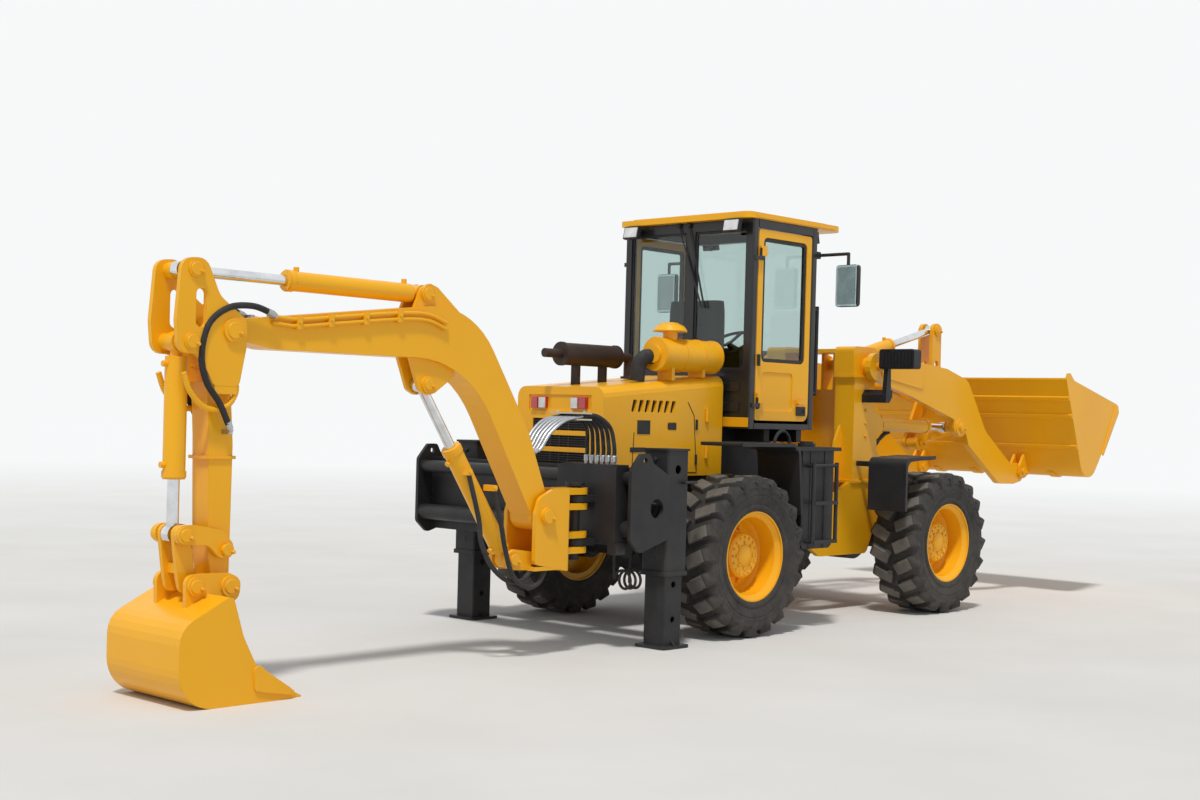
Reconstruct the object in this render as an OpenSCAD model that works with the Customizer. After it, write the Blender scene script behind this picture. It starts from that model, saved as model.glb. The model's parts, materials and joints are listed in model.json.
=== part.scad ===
// Articulated backhoe loader with a side-shift hoe, a four-post cab and a front bucket.
// Millimetres, +X towards the front bucket, +Y to the machine's left, +Z up, ground at z = 0.
// Lengths along X are measured from the rear axle on the rear frame and the hoe, and from the
// front axle on the front frame and the loader.

/* [Wheels] */
// Distance between the two axles
wheelbase = 2400; // [2300:10:2500]
// Distance between the middles of the two wheels on an axle
track = 1610; // [1590:10:1680]
// Tyre radius out to the lugs
tyre_r = 540; // [520:1:550]
// Tyre width
tyre_w = 400; // [380:1:410]
// Radius of the rim's outer flange
rim_r = 300; // [280:1:310]
// Lugs in one row round the tyre
lug_count = 20; // [18:1:22]
// Height of the lugs
lug_h = 38; // [30:1:44]
// Width of a lug
lug_w = 62; // [54:1:68]
// Slant of the lugs
lug_turn = 24; // [15:1:30]
// Radius of the hub on the axle
hub_r = 150; // [130:1:160]

/* [Rear frame] */
// Place of the steering pivot
pivot_x = 1150; // [1130:1:1170]
// Half the distance between the outer faces of the frame rails
rail_y = 290; // [270:1:300]
// Height of the rails' lower edge
rail_z = 560; // [540:1:600]
// Height of the rails
rail_h = 300; // [260:1:320]
// Height of the front drive shaft at the steering pivot
shaft_z = 480; // [470:1:485]

/* [Hood] */
// Rear face of the hood
hood_x0 = -885; // [-900:1:-860]
// Front face of the hood, behind the cab
hood_x1 = 330; // [300:1:340]
// Half the width of the hood
hood_y = 400; // [380:1:410]
// Lower edge of the hood
hood_z0 = 1050; // [1020:1:1080]
// Top of the hood at its rear end
hood_z1 = 1635; // [1600:1:1660]
// Top of the hood at its front end
hood_z2 = 1745; // [1730:1:1760]
// Thickness of the hood's sheet and its edges
hood_t = 20; // [14:1:24]

/* [Cab] */
// Rear face of the cab
cab_x0 = 375; // [370:1:400]
// Front face of the cab
cab_x1 = 1125; // [1110:1:1150]
// Half the width of the cab
cab_y = 600; // [580:1:610]
// Underside of the cab
cab_z0 = 1380; // [1370:1:1400]
// Top of the posts, under the roof
cab_z1 = 2840; // [2800:1:2880]
// Width of a cab post
post_w = 60; // [50:1:70]
// Thickness of the glass
glass_t = 6; // [5:1:8]
// Thickness of the roof
roof_t = 55; // [45:1:70]
// Thickness of a door
door_t = 40; // [35:1:45]
// Radius of the steering wheel
wheel_r = 170; // [150:1:190]

/* [Slide frame and outriggers] */
// Rear edge of the slide frame's end plates
slide_x0 = -1260; // [-1270:1:-1250]
// Half the width of the slide frame
slide_y = 1000; // [990:1:1010]
// Middle of the outriggers
rigger_x = -805; // [-815:1:-795]
// Half the distance between the outriggers' middles
rigger_y = 880; // [870:1:890]
// Width of the outriggers' outer tube
post_tube = 200; // [195:1:205]
// Width of the outriggers' inner leg
leg_tube = 168; // [160:1:170]
// Top of the outriggers' outer tube
post_top = 1250; // [1240:1:1280]
// Lower end of the outriggers' outer tube
post_low = 455; // [440:1:470]
// Width of an outrigger's foot plate
foot_w = 256; // [240:1:270]

/* [Backhoe] */
// Middle of the hoe across the machine
hoe_y = -660; // [-670:1:-640]
// Place of the swing pivot
swing_x = -1400; // [-1410:1:-1395]
// Width of the boom's box
boom_w = 180; // [170:1:190]
// Width of the stick's box
stick_w = 140; // [130:1:150]
// Width of the hoe bucket
hoe_bucket_w = 650; // [600:1:680]
// Teeth on the hoe bucket
tooth_count = 5; // [3:1:6]

/* [Loader] */
// Middle of a loader arm across the machine
arm_y = 500; // [495:1:505]
// Thickness of a loader arm
arm_t = 50; // [40:1:55]
// Width of the front bucket
bucket_w = 2120; // [2060:10:2160]
// Thickness of the buckets' plates
bucket_t = 14; // [12:1:18]

/* [Hidden] */
$fn = 48;
yellow = "#f0a81c";
black = "#2b2b2e";
steel = "#c8cace";
glass = "#9fb4b8";
rubber = "#3a3838";

// Clearance between pieces that move past each other
gap = 6;
// Clearance between pieces of one body that only lie against each other
seat = 0.3;
// Radius of the linkage pins
pin_r = 28;
// Radius of the pins of the steering pivot and of the swing pivot
steer_pin_r = 35;
// Radius of the spindles that the wheels turn on
spindle_r = 60;
// Radius of the drive shafts
shaft_r = 30;
// Tubes of the slide frame: middle in [x, z], and radius
slide_tubes = [[slide_x0 + 55, 1068, 40], [slide_x0 + 55, 755, 52]];

// The right door: its edges, the lower edge of its window, and its hinges
door_x0 = cab_x0 + post_w + gap;
door_x1 = cab_x1 - post_w - gap;
door_z0 = cab_z0 + 60;
door_z1 = cab_z1 - 60 - gap;
door_rim = 55;
sill_z = 1850;
door_pin = [door_x0 + 14, -cab_y - 14];
door_hinge_z = [door_z0 + 120, door_z1 - 190];

// Floor of the cab, top of its rear panel and of its front panel
floor_z = cab_z0 + 40;
rear_panel_z = 1790;
front_panel_z = 1620;
head_z = cab_z1 - 70;
hood_slope = atan((hood_z2 - hood_z1) / (hood_x1 - hood_x0 - 40));
muffler_z = 1850;
air_z = 1870;
tank_x0 = tyre_r + 22;
tank_x1 = 930;
nose_x = 205;
// The steering pivot seen from the front axle
pivot_f = pivot_x - wheelbase;

// The rearmost and the foremost point of the machine, for the origin midway between them
rear_end = -4356;
front_end = wheelbase + 2630;
mid_x = (rear_end + front_end) / 2;

// Pivots of the hoe in the plane of the machine's side, [x, z] from the rear axle
boom_foot = [-1770, 843];
boom_tip = [-3970, 1815];
boom_cyl_low = [-1975, 590];
boom_cyl_top = [-2655, 1592];
stick_cyl_front = [-2680, 2090];
stick_cyl_rear = [-4190, 2100];
bucket_cyl_top = [-4205, 1750];
bucket_cyl_low = [-4205, 812];
guide_pin = [-3970, 735];
hoe_pin = [-3967, 557];
hoe_link_pin = [-4162, 566];
// Pivots of the loader, [x, z] from the front axle
arm_pin = [-340, 1880];
lift_low = [-140, 1430];
lift_top = [890, 1425];
bucket_pin = [1890, 1060];
bucket_link_pin = [1760, 1420];
rocker_pin = [1220, 1690];
rocker_top = [1220, 2250];
rocker_low = [1000, 1285];
tilt_low = [-160, 1905];
// Stroke left at rest, from a barrel's start to its rod's, one for each cylinder
lift_in = 188;
boom_in = 320;
stick_in = 372;
bucket_in = 119;
tilt_in = 572;

module place() {
    translate([-mid_x, 0, 0]) children();
}

module place_front() {
    translate([wheelbase - mid_x, 0, 0]) children();
}

function dist(p, q) = norm([q[0] - p[0], q[1] - p[1]]);
function flat(p) = [p[0], p[1]];
function unit(a, b) = (flat(b) - flat(a)) / dist(a, b);

// The arc that rounds the corner b between a and c; b is [x, z, radius]
function corner_arc(a, b, c) =
    let (u = unit(b, a), v = unit(b, c), half = acos(u * v) / 2, r = b[2], n = r > 150 ? 9 : 4,
        middle = flat(b) + (u + v) / norm(u + v) * r / sin(half),
        from = flat(b) + u * r / tan(half) - middle, to = flat(b) + v * r / tan(half) - middle,
        start = atan2(from[1], from[0]), turn = (atan2(to[1], to[0]) - start + 540) % 360 - 180)
    [for (k = [0 : n]) middle + r * [cos(start + turn * k / n), sin(start + turn * k / n)]];

// A closed outline whose corners are [x, z], sharp, or [x, z, radius], rounded
function soft(p) = [for (i = [0 : len(p) - 1])
    each len(p[i]) < 3 ? [p[i]] : corner_arc(p[(i + len(p) - 1) % len(p)], p[i], p[(i + 1) % len(p)])];

// The way from the line a b to its side where c lies
function inward(a, b, c) = let (d = unit(a, b), n = [-d[1], d[0]]) (flat(c) - flat(a)) * n > 0 ? n : -n;

// An open line of corners, all turning the same way, moved inwards by t
function inset(p, t) = let (last = len(p) - 1) [for (i = [0 : last])
    i == 0 ? flat(p[0]) + t * inward(p[0], p[1], p[2])
    : i == last ? flat(p[last]) + t * inward(p[last], p[last - 1], p[last - 2])
    : let (u = unit(p[i], p[i - 1]), v = unit(p[i], p[i + 1]), m = flat(p[i]) + (u + v) / norm(u + v) * t / sin(acos(u * v) / 2))
        [m[0], m[1], p[i][2] - t]];

// The outline of a plate of thickness t that follows an open line of corners
function shell(p, t) = let (q = inset(p, t)) concat(p, [for (i = [len(q) - 1 : -1 : 0]) q[i]]);

// A plate in the plane of the machine's side: its outline in [x, z], from y0 to y0 + t
module side_plate(points, y0, t) {
    translate([0, y0 + t, 0]) rotate([90, 0, 0]) linear_extrude(t) polygon(soft(points));
}

// A shape along the machine: its outline in [y, z], from x0 to x0 + t
module cross_shape(points, x0, t) {
    translate([x0, 0, 0]) rotate([90, 0, 90]) linear_extrude(t) polygon(soft(points));
}

// A level plate: its outline in [x, y], from z0 to z0 + t
module level_plate(points, z0, t) {
    translate([0, 0, z0]) linear_extrude(t) polygon(soft(points));
}

// A box given by its lowest and its highest corner
module block(low, high) {
    translate(low) cube([high[0] - low[0], high[1] - low[1], high[2] - low[2]]);
}

// A round bar across the machine at [x, z]
module cross_bar(p, y0, y1, r) {
    translate([p[0], y1, p[1]]) rotate([90, 0, 0]) cylinder(h = y1 - y0, r = r);
}

// A round bar in the plane y from p towards q, from d0 to d1 along the way
module way_bar(p, q, y, d0, d1, r) {
    translate([p[0], y, p[1]]) rotate([0, atan2(q[0] - p[0], q[1] - p[1]), 0])
        translate([0, 0, d0]) cylinder(h = d1 - d0, r = r);
}

// A round bar along the machine from x0 to x1
module long_bar(x0, x1, y, z, r) {
    translate([x0, y, z]) rotate([0, 90, 0]) cylinder(h = x1 - x0, r = r);
}

// The same on both sides of the machine
module both_sides() {
    children();
    mirror([0, 1, 0]) children();
}

// A hinge plate round a vertical pivot, from x0 to the rounded end round x1
module hinge_plate(x0, x1, z, t, r) {
    translate([0, 0, z]) linear_extrude(t) union() {
        polygon([[x0, -r], [x1, -r], [x1, r], [x0, r]]);
        translate([x1, 0]) circle(r);
    }
}

// Wheels

// The corners of a regular polygon whose flat sides lie at the distance r
function ring(n, r) = [for (i = [0 : n - 1]) r / cos(180 / n) * [cos((i + 0.5) * 360 / n), sin((i + 0.5) * 360 / n)]];

module tyre(x, side) {
    half = tyre_w / 2;
    wall = half - 22;
    body_r = tyre_r - lug_h;
    reach = (half - 14) / 2;
    middle = half - reach * cos(lug_turn) - lug_w / 2 * sin(lug_turn);
    // The lug's corners lie furthest out, and are what touches the ground
    top = sqrt(pow(tyre_r, 2) - pow(reach * sin(lug_turn) + lug_w / 2 * cos(lug_turn), 2));
    // Seen along the tread, [across, outwards]: over the tread and down over the shoulder
    lug = [[-reach, body_r - 20], [10 - reach, top - 2], [reach - 14, top], [reach, top - 14], [reach, body_r - 70]];
    color(rubber) translate([x, side * track / 2, tyre_r]) rotate([90, 0, 0]) {
        difference() {
            translate([0, 0, -wall]) linear_extrude(2 * wall) polygon(ring(2 * lug_count, body_r));
            translate([0, 0, -half]) cylinder(h = 2 * half, r = rim_r + seat);
            for (s = [0, 1]) mirror([0, 0, s])
                rotate_extrude() polygon([[rim_r - 10, wall + 1], [rim_r + 70, wall + 1], [rim_r - 10, wall - 40]]);
        }
        for (i = [0 : lug_count - 1], row = [0, 1])
            mirror([0, 0, row]) rotate([0, 0, (i + row / 2) * 360 / lug_count]) translate([0, 0, middle])
                rotate([0, lug_turn, 0]) rotate([0, -90, 0]) translate([0, 0, -lug_w / 2])
                    linear_extrude(lug_w) polygon(lug);
    }
}

module rim(x, side) {
    half = tyre_w / 2 - 24;
    well = rim_r - 50;
    disc = 60;
    color(yellow) translate([x, side * track / 2, tyre_r]) rotate([side * 90, 0, 0]) mirror([0, 0, 1])
        difference() {
            // Section through the rim, [outwards, across]: well, flanges, dished disc and hub
            rotate_extrude() polygon([
                [0, -disc], [well, -disc], [well, 14 - half], [rim_r - 10, 14 - half], [rim_r - 10, -half], [rim_r, -half],
                [rim_r, half], [rim_r - 10, half], [rim_r - 10, half - 14], [well + 10, half - 40], [well, 20], [well - 30, -20],
                [hub_r, -20], [hub_r, 70], [hub_r - 14, 84], [0, 84]
            ]);
            translate([0, 0, -half]) cylinder(h = half - disc, r = hub_r - 20);
            translate([0, 0, -half]) cylinder(h = half + 40, r = spindle_r + seat);
        }
}

module axle(x, seat_y, seat_z) {
    reach = track / 2 - tyre_w / 2 - 20;
    color(black) {
        for (s = [-1, 1]) translate([x, 0, tyre_r]) rotate([s * 90, 0, 0]) {
            cylinder(h = reach, r = 80);
            translate([0, 0, reach - 100]) cylinder(h = 40, r = 105);
            translate([0, 0, reach - 70]) cylinder(h = track / 2 - 60 - gap - reach + 70, r = hub_r - 20 - gap);
            cylinder(h = track / 2 + 30, r = spindle_r);
        }
        translate([x, 0, tyre_r]) rotate([90, 0, 0]) translate([0, 0, -110]) cylinder(h = 220, r = 190);
        long_bar(x - nose_x, x + nose_x, 0, tyre_r, 80);
        for (s = [-1, 1]) side_plate([[x - 90, seat_z - seat], [x - 75, tyre_r, 20], [x + 75, tyre_r, 20], [x + 90, seat_z - seat]],
            s * seat_y - 55, 110);
    }
}

// The front drive shaft, from its yoke at the steering pivot to the axle
module drive_shaft() {
    from = [pivot_f + 55, shaft_z];
    to = [4 - nose_x, tyre_r];
    color(black) {
        way_bar(from, to, 0, 0, dist(from, to), shaft_r);
        way_bar(from, to, 0, 0, 30, shaft_r + 18);
        way_bar(from, to, 0, dist(from, to) - 50, dist(from, to) - 20, shaft_r + 22);
    }
}

module transfer_box() {
    x0 = 450 + seat;
    color("dimgray") {
        cross_shape([[-150, 620, 30], [150, 620, 30], [150, 980, 40], [-150, 980, 40]], x0, 240);
        cross_shape([[-95, 425, 60], [95, 425, 60], [120, 630], [-120, 630]], x0, 180);
        for (z = [700, 900]) cross_shape([[-162, z - 9], [162, z - 9], [162, z + 9], [-162, z + 9]], x0, 200);
        long_bar(nose_x + seat, x0 + 10, 0, tyre_r, shaft_r);
        for (x = [nose_x + seat, x0 - 40]) long_bar(x, x + 40, 0, tyre_r, shaft_r + 20);
        long_bar(x0 + 170, pivot_x - 38, 0, shaft_z, shaft_r);
        long_bar(x0 + 170, x0 + 230, 0, shaft_z, shaft_r + 20);
        translate([pivot_x, 0, shaft_z]) sphere(40);
    }
}

// Rear frame

module rear_chassis() {
    low = rail_z + 120;
    hump = rail_z + 240;
    end = pivot_x - 260;
    color(black) {
        both_sides() side_plate([
            [-980, 620, 30], [-900, low, 60], [-240, low, 80], [-120, hump, 60], [120, hump, 60], [240, low, 60],
            [420, rail_z, 80], [end, rail_z], [end, 1080, 90], [cab_x1 - 60, cab_z0 - 60, 30], [cab_x1 - 60, cab_z0 - seat],
            [cab_x0, cab_z0 - seat], [hood_x1 + seat, cab_z0 - 60], [hood_x1 + seat, hood_z0 - seat], [-980, hood_z0 - seat]
        ], -rail_y, 30);
        block([-980, -rail_y + 1, 700], [-950, rail_y - 1, hood_z0 - seat]);
        block([420, -rail_y + 1, rail_z + 60], [450, rail_y - 1, 1000]);
        block([end, -rail_y + 1, rail_z], [end + 30, rail_y - 1, rail_z + rail_h]);
        for (z = [rail_z + 20, rail_z + rail_h - 60]) hinge_plate(end + 20, pivot_x, z, 40, 110);
        translate([pivot_x, 0, rail_z - 30]) cylinder(h = rail_h + 60, r = steer_pin_r);
        for (x = [600, 980]) block([x, -cab_y + 40, cab_z0 - 90], [x + 60, cab_y - 40, cab_z0 - seat]);
        // Pads between the rails and the outriggers' crossbeams
        both_sides() side_plate([[rigger_x - 80, low + 10, 20], [rigger_x + 80, low + 10, 20], [rigger_x + 80, 980, 20], [rigger_x - 80, 980, 20]], -rail_y - 12, 13);
    }
}

module engine() {
    color("dimgray") block([-800, -rail_y + 30 + seat, 820], [180, rail_y - 30 - seat, 1560]);
}

// The hood's solid, drawn in by t from its outer faces
module hood_form(t) {
    y = hood_y - t;
    intersection() {
        side_plate([[hood_x0 + t, hood_z0 - t], [hood_x1 - t, hood_z0 - t], [hood_x1 - t, hood_z2 + 50], [hood_x0 + t, hood_z2 + 50]], -hood_y, 2 * hood_y);
        translate([hood_x0 + 40, 0, hood_z1 - t]) rotate([0, -hood_slope, 0])
            cross_shape([[-y, -900], [y, -900], [y, 0, 70 - t], [-y, 0, 70 - t]], -300, 1900);
    }
}

module hood() {
    grille_y = 250;
    grille_z = [1120, 1230, 1340];
    grille_h = 78;
    color(yellow) {
        difference() {
            hood_form(0);
            hood_form(hood_t);
            for (z = grille_z) block([hood_x0 - 1, -grille_y, z], [hood_x0 + hood_t + 1, grille_y, z + grille_h]);
            // Lamp recess, louvred slots, lock and latch openings
            block([hood_x0 - 1, -290, 1470], [hood_x0 + 8, 290, 1575]);
            both_sides() {
                for (x = [-620 : 65 : -170])
                    side_plate([[x, 1475, 8], [x + 40, 1475, 8], [x + 60, 1555, 8], [x + 20, 1555, 8]], -hood_y - 1, hood_t + 2);
                side_plate([[-250, 1360, 12], [-160, 1360, 12], [-160, 1410, 12], [-250, 1410, 12]], -hood_y - 1, 9);
                side_plate([[-250, 1210, 8], [-150, 1210, 8], [-150, 1235, 8], [-250, 1235, 8]], -hood_y - 1, hood_t + 2);
            }
        }
        for (z = grille_z, k = [1 : 4]) block([hood_x0 + 4, -grille_y - 1, z + k * grille_h / 5 - 3], [hood_x0 + 16, grille_y + 1, z + k * grille_h / 5 + 3]);
        for (y = [-84, 0, 84]) block([hood_x0 + 5, y - 4, grille_z[0] - 1], [hood_x0 + 15, y + 4, grille_z[2] + grille_h + 1]);
        // Hinges on the sides
        both_sides() for (z = [1170, 1420])
            translate([150, -hood_y - 10, z]) cylinder(h = 90, r = 11);
    }
}

module rear_lamps() {
    color("firebrick") for (s = [-1, 1]) for (k = [0, 1])
        block([hood_x0 - 14, s * (150 + k * 72) - 32, 1485], [hood_x0 + 8 - seat, s * (150 + k * 72) + 32, 1560]);
}

module work_lamps() {
    color(black) for (s = [-1, 1]) {
        translate([cab_x0 - seat, s * 470, 2788]) rotate([0, -90, 0]) {
            cylinder(h = 30, r = 25);
            translate([0, 0, 29]) cylinder(h = 45, r1 = 35, r2 = 48);
            translate([0, 0, 73]) cylinder(h = 12, r = 50);
        }
        translate([cab_x1 + seat, s * 470, 2788]) rotate([0, 90, 0]) {
            cylinder(h = 30, r = 25);
            translate([0, 0, 29]) cylinder(h = 45, r1 = 35, r2 = 48);
            translate([0, 0, 73]) cylinder(h = 12, r = 50);
        }
    }
}

function hood_top(x) = hood_z1 + (x - hood_x0 - 40) * (hood_z2 - hood_z1) / (hood_x1 - hood_x0 - 40);

// A saddle of width w from the hood's top up into a round body at height z
module saddle(x, y, w, z) {
    side_plate([[x - 15, hood_top(x - 15) + seat], [x + 15, hood_top(x + 15) + seat], [x + 15, z], [x - 15, z]], y - w / 2, w);
}

module muffler() {
    y = 40;
    color("saddlebrown") {
        long_bar(-850, -310, y, muffler_z, 75);
        for (x = [-850, -330]) long_bar(x, x + 20, y, muffler_z, 80);
        long_bar(-1000, -840, y, muffler_z, 30);
        for (x = [-700, -440]) saddle(x, y, 60, muffler_z - 50);
        long_bar(-320, -180, y, muffler_z, 30);
        translate([-180, y, muffler_z]) sphere(30);
        translate([-180, y, hood_top(-180) + 8]) cylinder(h = muffler_z - hood_top(-180), r = 30);
        translate([-180, y, hood_top(-180) + 8]) cylinder(h = 16, r = 52);
    }
}

module air_cleaner() {
    y = -330;
    r = 112;
    color(yellow) {
        long_bar(-320, 280, y, air_z, r);
        for (x = [-316, -104, 90, 256]) long_bar(x, x + 20, y, air_z, r + 5);
        long_bar(-340, -310, y, air_z, 60);
        for (x = [-200, 120]) saddle(x, y, 130, air_z - 80);
        translate([-170, y, air_z + 90]) cylinder(h = 70, r = 50);
        translate([-170, y, air_z + 155]) rotate_extrude() polygon([[0, 0], [115, 0], [118, 8], [95, 40], [50, 62], [20, 66], [0, 66]]);
    }
}

// Cab

module cab_frame() {
    w = post_w;
    color(black) {
        for (x = [cab_x0, cab_x1 - w]) {
            both_sides() level_plate([[x, -cab_y, 12], [x + w, -cab_y, 12], [x + w, w - cab_y], [x, w - cab_y]], cab_z0, cab_z1 - cab_z0);
            block([x, w - cab_y - 1, head_z], [x + w, cab_y - w + 1, cab_z1]);
        }
        both_sides() block([cab_x0 + w - 1, -cab_y, cab_z1 - 60], [cab_x1 - w + 1, w - cab_y, cab_z1]);
        block([cab_x0 + w - 1, -cab_y, cab_z0], [cab_x1 - w + 1, cab_y, floor_z]);
        // Rear panel with its post between the windows, and the panel under the windscreen
        cross_shape([[w - cab_y - 1, cab_z0], [cab_y - w + 1, cab_z0], [cab_y - w + 1, rear_panel_z], [w - cab_y - 1, rear_panel_z]], cab_x0, 30);
        block([cab_x0, -70, rear_panel_z - 1], [cab_x0 + 40, 10, head_z + 1]);
        block([cab_x1 - 30, w - cab_y - 1, cab_z0], [cab_x1, cab_y - w + 1, front_panel_z]);
        for (z = [1500, 1640]) block([cab_x0 - 8, w - cab_y + 30, z], [cab_x0 + 1, cab_y - w - 30, z + 60]);
        both_sides() for (z = door_hinge_z) {
            block([cab_x0 + 10, -cab_y - 22, z - 30], [cab_x0 + 50, -cab_y + 1, z - seat]);
            block([cab_x0 + 49, -cab_y - 22, z - 30], [door_pin[0] + 10, -cab_y - 6, z - seat]);
            translate([door_pin[0], door_pin[1], z - 20]) cylinder(h = 80, r = 6);
        }
    }
}

module cab_roof() {
    x0 = cab_x0 - 65;
    x1 = cab_x1 + 295;
    y = cab_y + 15;
    lip = 15;
    color(yellow) {
        level_plate([[x0, -y, 50], [x1, -y, 90], [x1, y, 90], [x0, y, 50]], cab_z1 + seat, roof_t - lip);
        level_plate([[x0 + 60, 60 - y, 50], [x1 - 90, 60 - y, 70], [x1 - 90, y - 60, 70], [x0 + 60, y - 60, 50]], cab_z1 + roof_t - lip - 0.5, lip);
        // Rain gutters along the sides
        both_sides() block([x0 + 80, -y - 8, cab_z1 + 6], [x1 - 120, 1 - y, cab_z1 + 22]);
    }
}

module cab_glass() {
    side = cab_y - post_w - seat;
    color(glass, 0.5) {
        for (y = [[-side, -70 - seat], [10 + seat, side]])
            block([cab_x0 + 16, y[0], rear_panel_z + seat], [cab_x0 + 16 + glass_t, y[1], head_z - seat]);
        block([cab_x1 - 26, -side, front_panel_z + seat], [cab_x1 - 26 + glass_t, side, head_z - seat]);
    }
}

// Outline of a door's window, smaller by t
function door_window(t) = [
    [door_x0 + door_rim + t, sill_z + t, 40], [door_x1 - door_rim - t, sill_z + t, 40],
    [door_x1 - door_rim - t, door_z1 - door_rim - t, 40], [door_x0 + door_rim + t, door_z1 - door_rim - t, 40]
];

module door() {
    y0 = -cab_y + 4;
    color(yellow) difference() {
        union() {
            difference() {
                side_plate([[door_x0, door_z0, 20], [door_x1, door_z0, 60], [door_x1, door_z1, 20], [door_x0, door_z1, 20]], y0, door_t);
                side_plate(door_window(0), y0 - 1, door_t + 2);
                // Pressed panel below the window
                side_plate([[door_x0 + 70, door_z0 + 70, 30], [door_x1 - 190, door_z0 + 70, 30], [door_x1 - 190, sill_z - 70, 30], [door_x0 + 70, sill_z - 70, 30]], y0 - 1, 9);
            }
            for (z = door_hinge_z) {
                translate([door_pin[0], door_pin[1], z]) cylinder(h = 70, r = 12);
                block([door_pin[0], door_pin[1] - 8, z], [door_pin[0] + 50, y0 + 1, z + 70]);
            }
            // Handle
            for (x = [door_x1 - 150, door_x1 - 75]) block([x, y0 - 30, 1565], [x + 15, y0 + 1, 1585]);
            side_plate([[door_x1 - 160, 1560, 12], [door_x1 - 50, 1560, 12], [door_x1 - 50, 1590, 12], [door_x1 - 160, 1590, 12]], y0 - 36, 8);
        }
        for (z = door_hinge_z) translate([door_pin[0], door_pin[1], z - 1]) cylinder(h = 72, r = 6 + seat);
    }
}

module door_glass() {
    color(glass, 0.5) side_plate(door_window(seat), -cab_y + 4 + door_t / 2 - glass_t / 2, glass_t);
}

module seat_base() {
    z = floor_z + seat;
    color("dimgray") {
        block([560, -170, z], [780, 170, z + 24]);
        side_plate([[580, z + 23], [760, z + 23], [730, z + 150, 20], [760, z + 180 - seat], [560, z + 180 - seat], [600, z + 150, 20]], -120, 240);
    }
}

module operator_seat() {
    z = floor_z + seat + 180;
    color("dimgray") {
        side_plate([[470, z, 30], [850, z, 40], [870, z + 120, 50], [560, z + 100, 60], [545, z + 120], [470, z + 120]], -230, 460);
        side_plate([[480, z + 90], [590, z + 90], [560, z + 400, 200], [530, z + 690, 40], [455, z + 690, 40], [440, z + 400, 200]], -215, 430);
    }
}

module steering_console() {
    z = floor_z + seat;
    pivot = [cab_x1 - 215, 0, z + 530];
    back = cab_x0 + 30 + seat;
    color(black) {
        side_plate([[cab_x1 - 170, z], [cab_x1 - 70, z], [cab_x1 - 60, z + 420, 30], [cab_x1 - 200, z + 560, 20], [cab_x1 - 240, z + 520, 20]], -90, 180);
        translate(pivot) rotate([0, -32, 0]) {
            cylinder(h = 70, r = 20);
            translate([0, 0, 60]) rotate_extrude() translate([wheel_r, 0]) circle(12, $fn = 8);
            for (a = [0 : 120 : 240]) rotate([0, 0, a]) translate([0, -12, 52]) cube([wheel_r, 24, 14]);
        }
        // Stand behind the seat with the hoe's levers
        side_plate([[back, z], [cab_x0 + 56, z], [cab_x0 + 56, z + 250], [cab_x0 + 76, z + 330, 20], [back, z + 360, 20]], -300, 600);
        for (y = [-240 : 80 : 240]) {
            translate([cab_x0 + 58, y, z + 320]) cylinder(h = 60, r = 6);
            translate([cab_x0 + 58, y, z + 390]) sphere(14);
        }
    }
}

module side_tanks() {
    top = 1240;
    inner = -rail_y - seat;
    color(black) both_sides() {
        side_plate([[tank_x0, 560, 50], [tank_x1, 560, 50], [tank_x1, top], [tank_x0, top]], -930, 930 + inner - 260);
        for (x = [tank_x0 + 90, tank_x1 - 110]) block([x, -934, 560], [x + 20, -929, top]);
        level_plate([[450, -960, 20], [1000, -960, 30], [1000, -560], [450, -560]], top - 1, 26);
        side_plate([[tank_x0, 700, 30], [tank_x1, 700, 30], [tank_x1, 900, 30], [tank_x0, 900, 30]], inner - 261, 261);
        // Fender plate and its strip down along the wheel
        side_plate([[-140, 1290, 8], [440, 1290, 50], [505, 1235, 60], [545, 800], [520, 800], [480, 1230, 50], [430, 1265, 30], [-140, 1265, 8]], -960, 360);
        translate([740, -830, top + 24]) cylinder(h = 26, r = 62);
        translate([740, -830, top + 49]) cylinder(h = 14, r = 48);
    }
}

module hand_rails() {
    r = 14;
    y = -986;
    rails = [620, 890];
    color(black) both_sides() {
        for (x = rails) {
            translate([x, y, 600]) cylinder(h = 560, r = r);
            for (z = [612, 1136]) translate([x, y, z]) rotate([-90, 0, 0]) cylinder(h = -y - 930 - seat, r = r - 3);
        }
        for (z = [600, 868]) block([rails[0], y - 20, z], [rails[1], y + 20, z + 24]);
        long_bar(rails[0], rails[1], y, 1140, r - 2);
    }
    color(black) both_sides() {
        x = cab_x1 + 40;
        translate([x, 20 - cab_y, 1630]) cylinder(h = 650, r = r);
        for (z = [1650, 2255]) long_bar(cab_x1 + seat, x, 20 - cab_y, z, 10);
    }
}

module mirrors() {
    x = cab_x1 + 30;
    y = cab_y - 20;
    color(black) both_sides() {
        translate([x, -y, 2650]) rotate([90, 0, 0]) cylinder(h = 270, r = 12);
        translate([x, -y - 270, 2650]) sphere(12);
        block([cab_x1 + seat, -y - 20, 2625], [x + 10, -y + 20, 2675]);
        translate([x, -y - 270, 2480]) cylinder(h = 170, r = 12);
        cross_shape([[-y - 370, 2270, 25], [-y - 180, 2270, 25], [-y - 180, 2570, 25], [-y - 370, 2570, 25]], x - 20, 32);
    }
}

// Slide frame and outriggers

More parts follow.
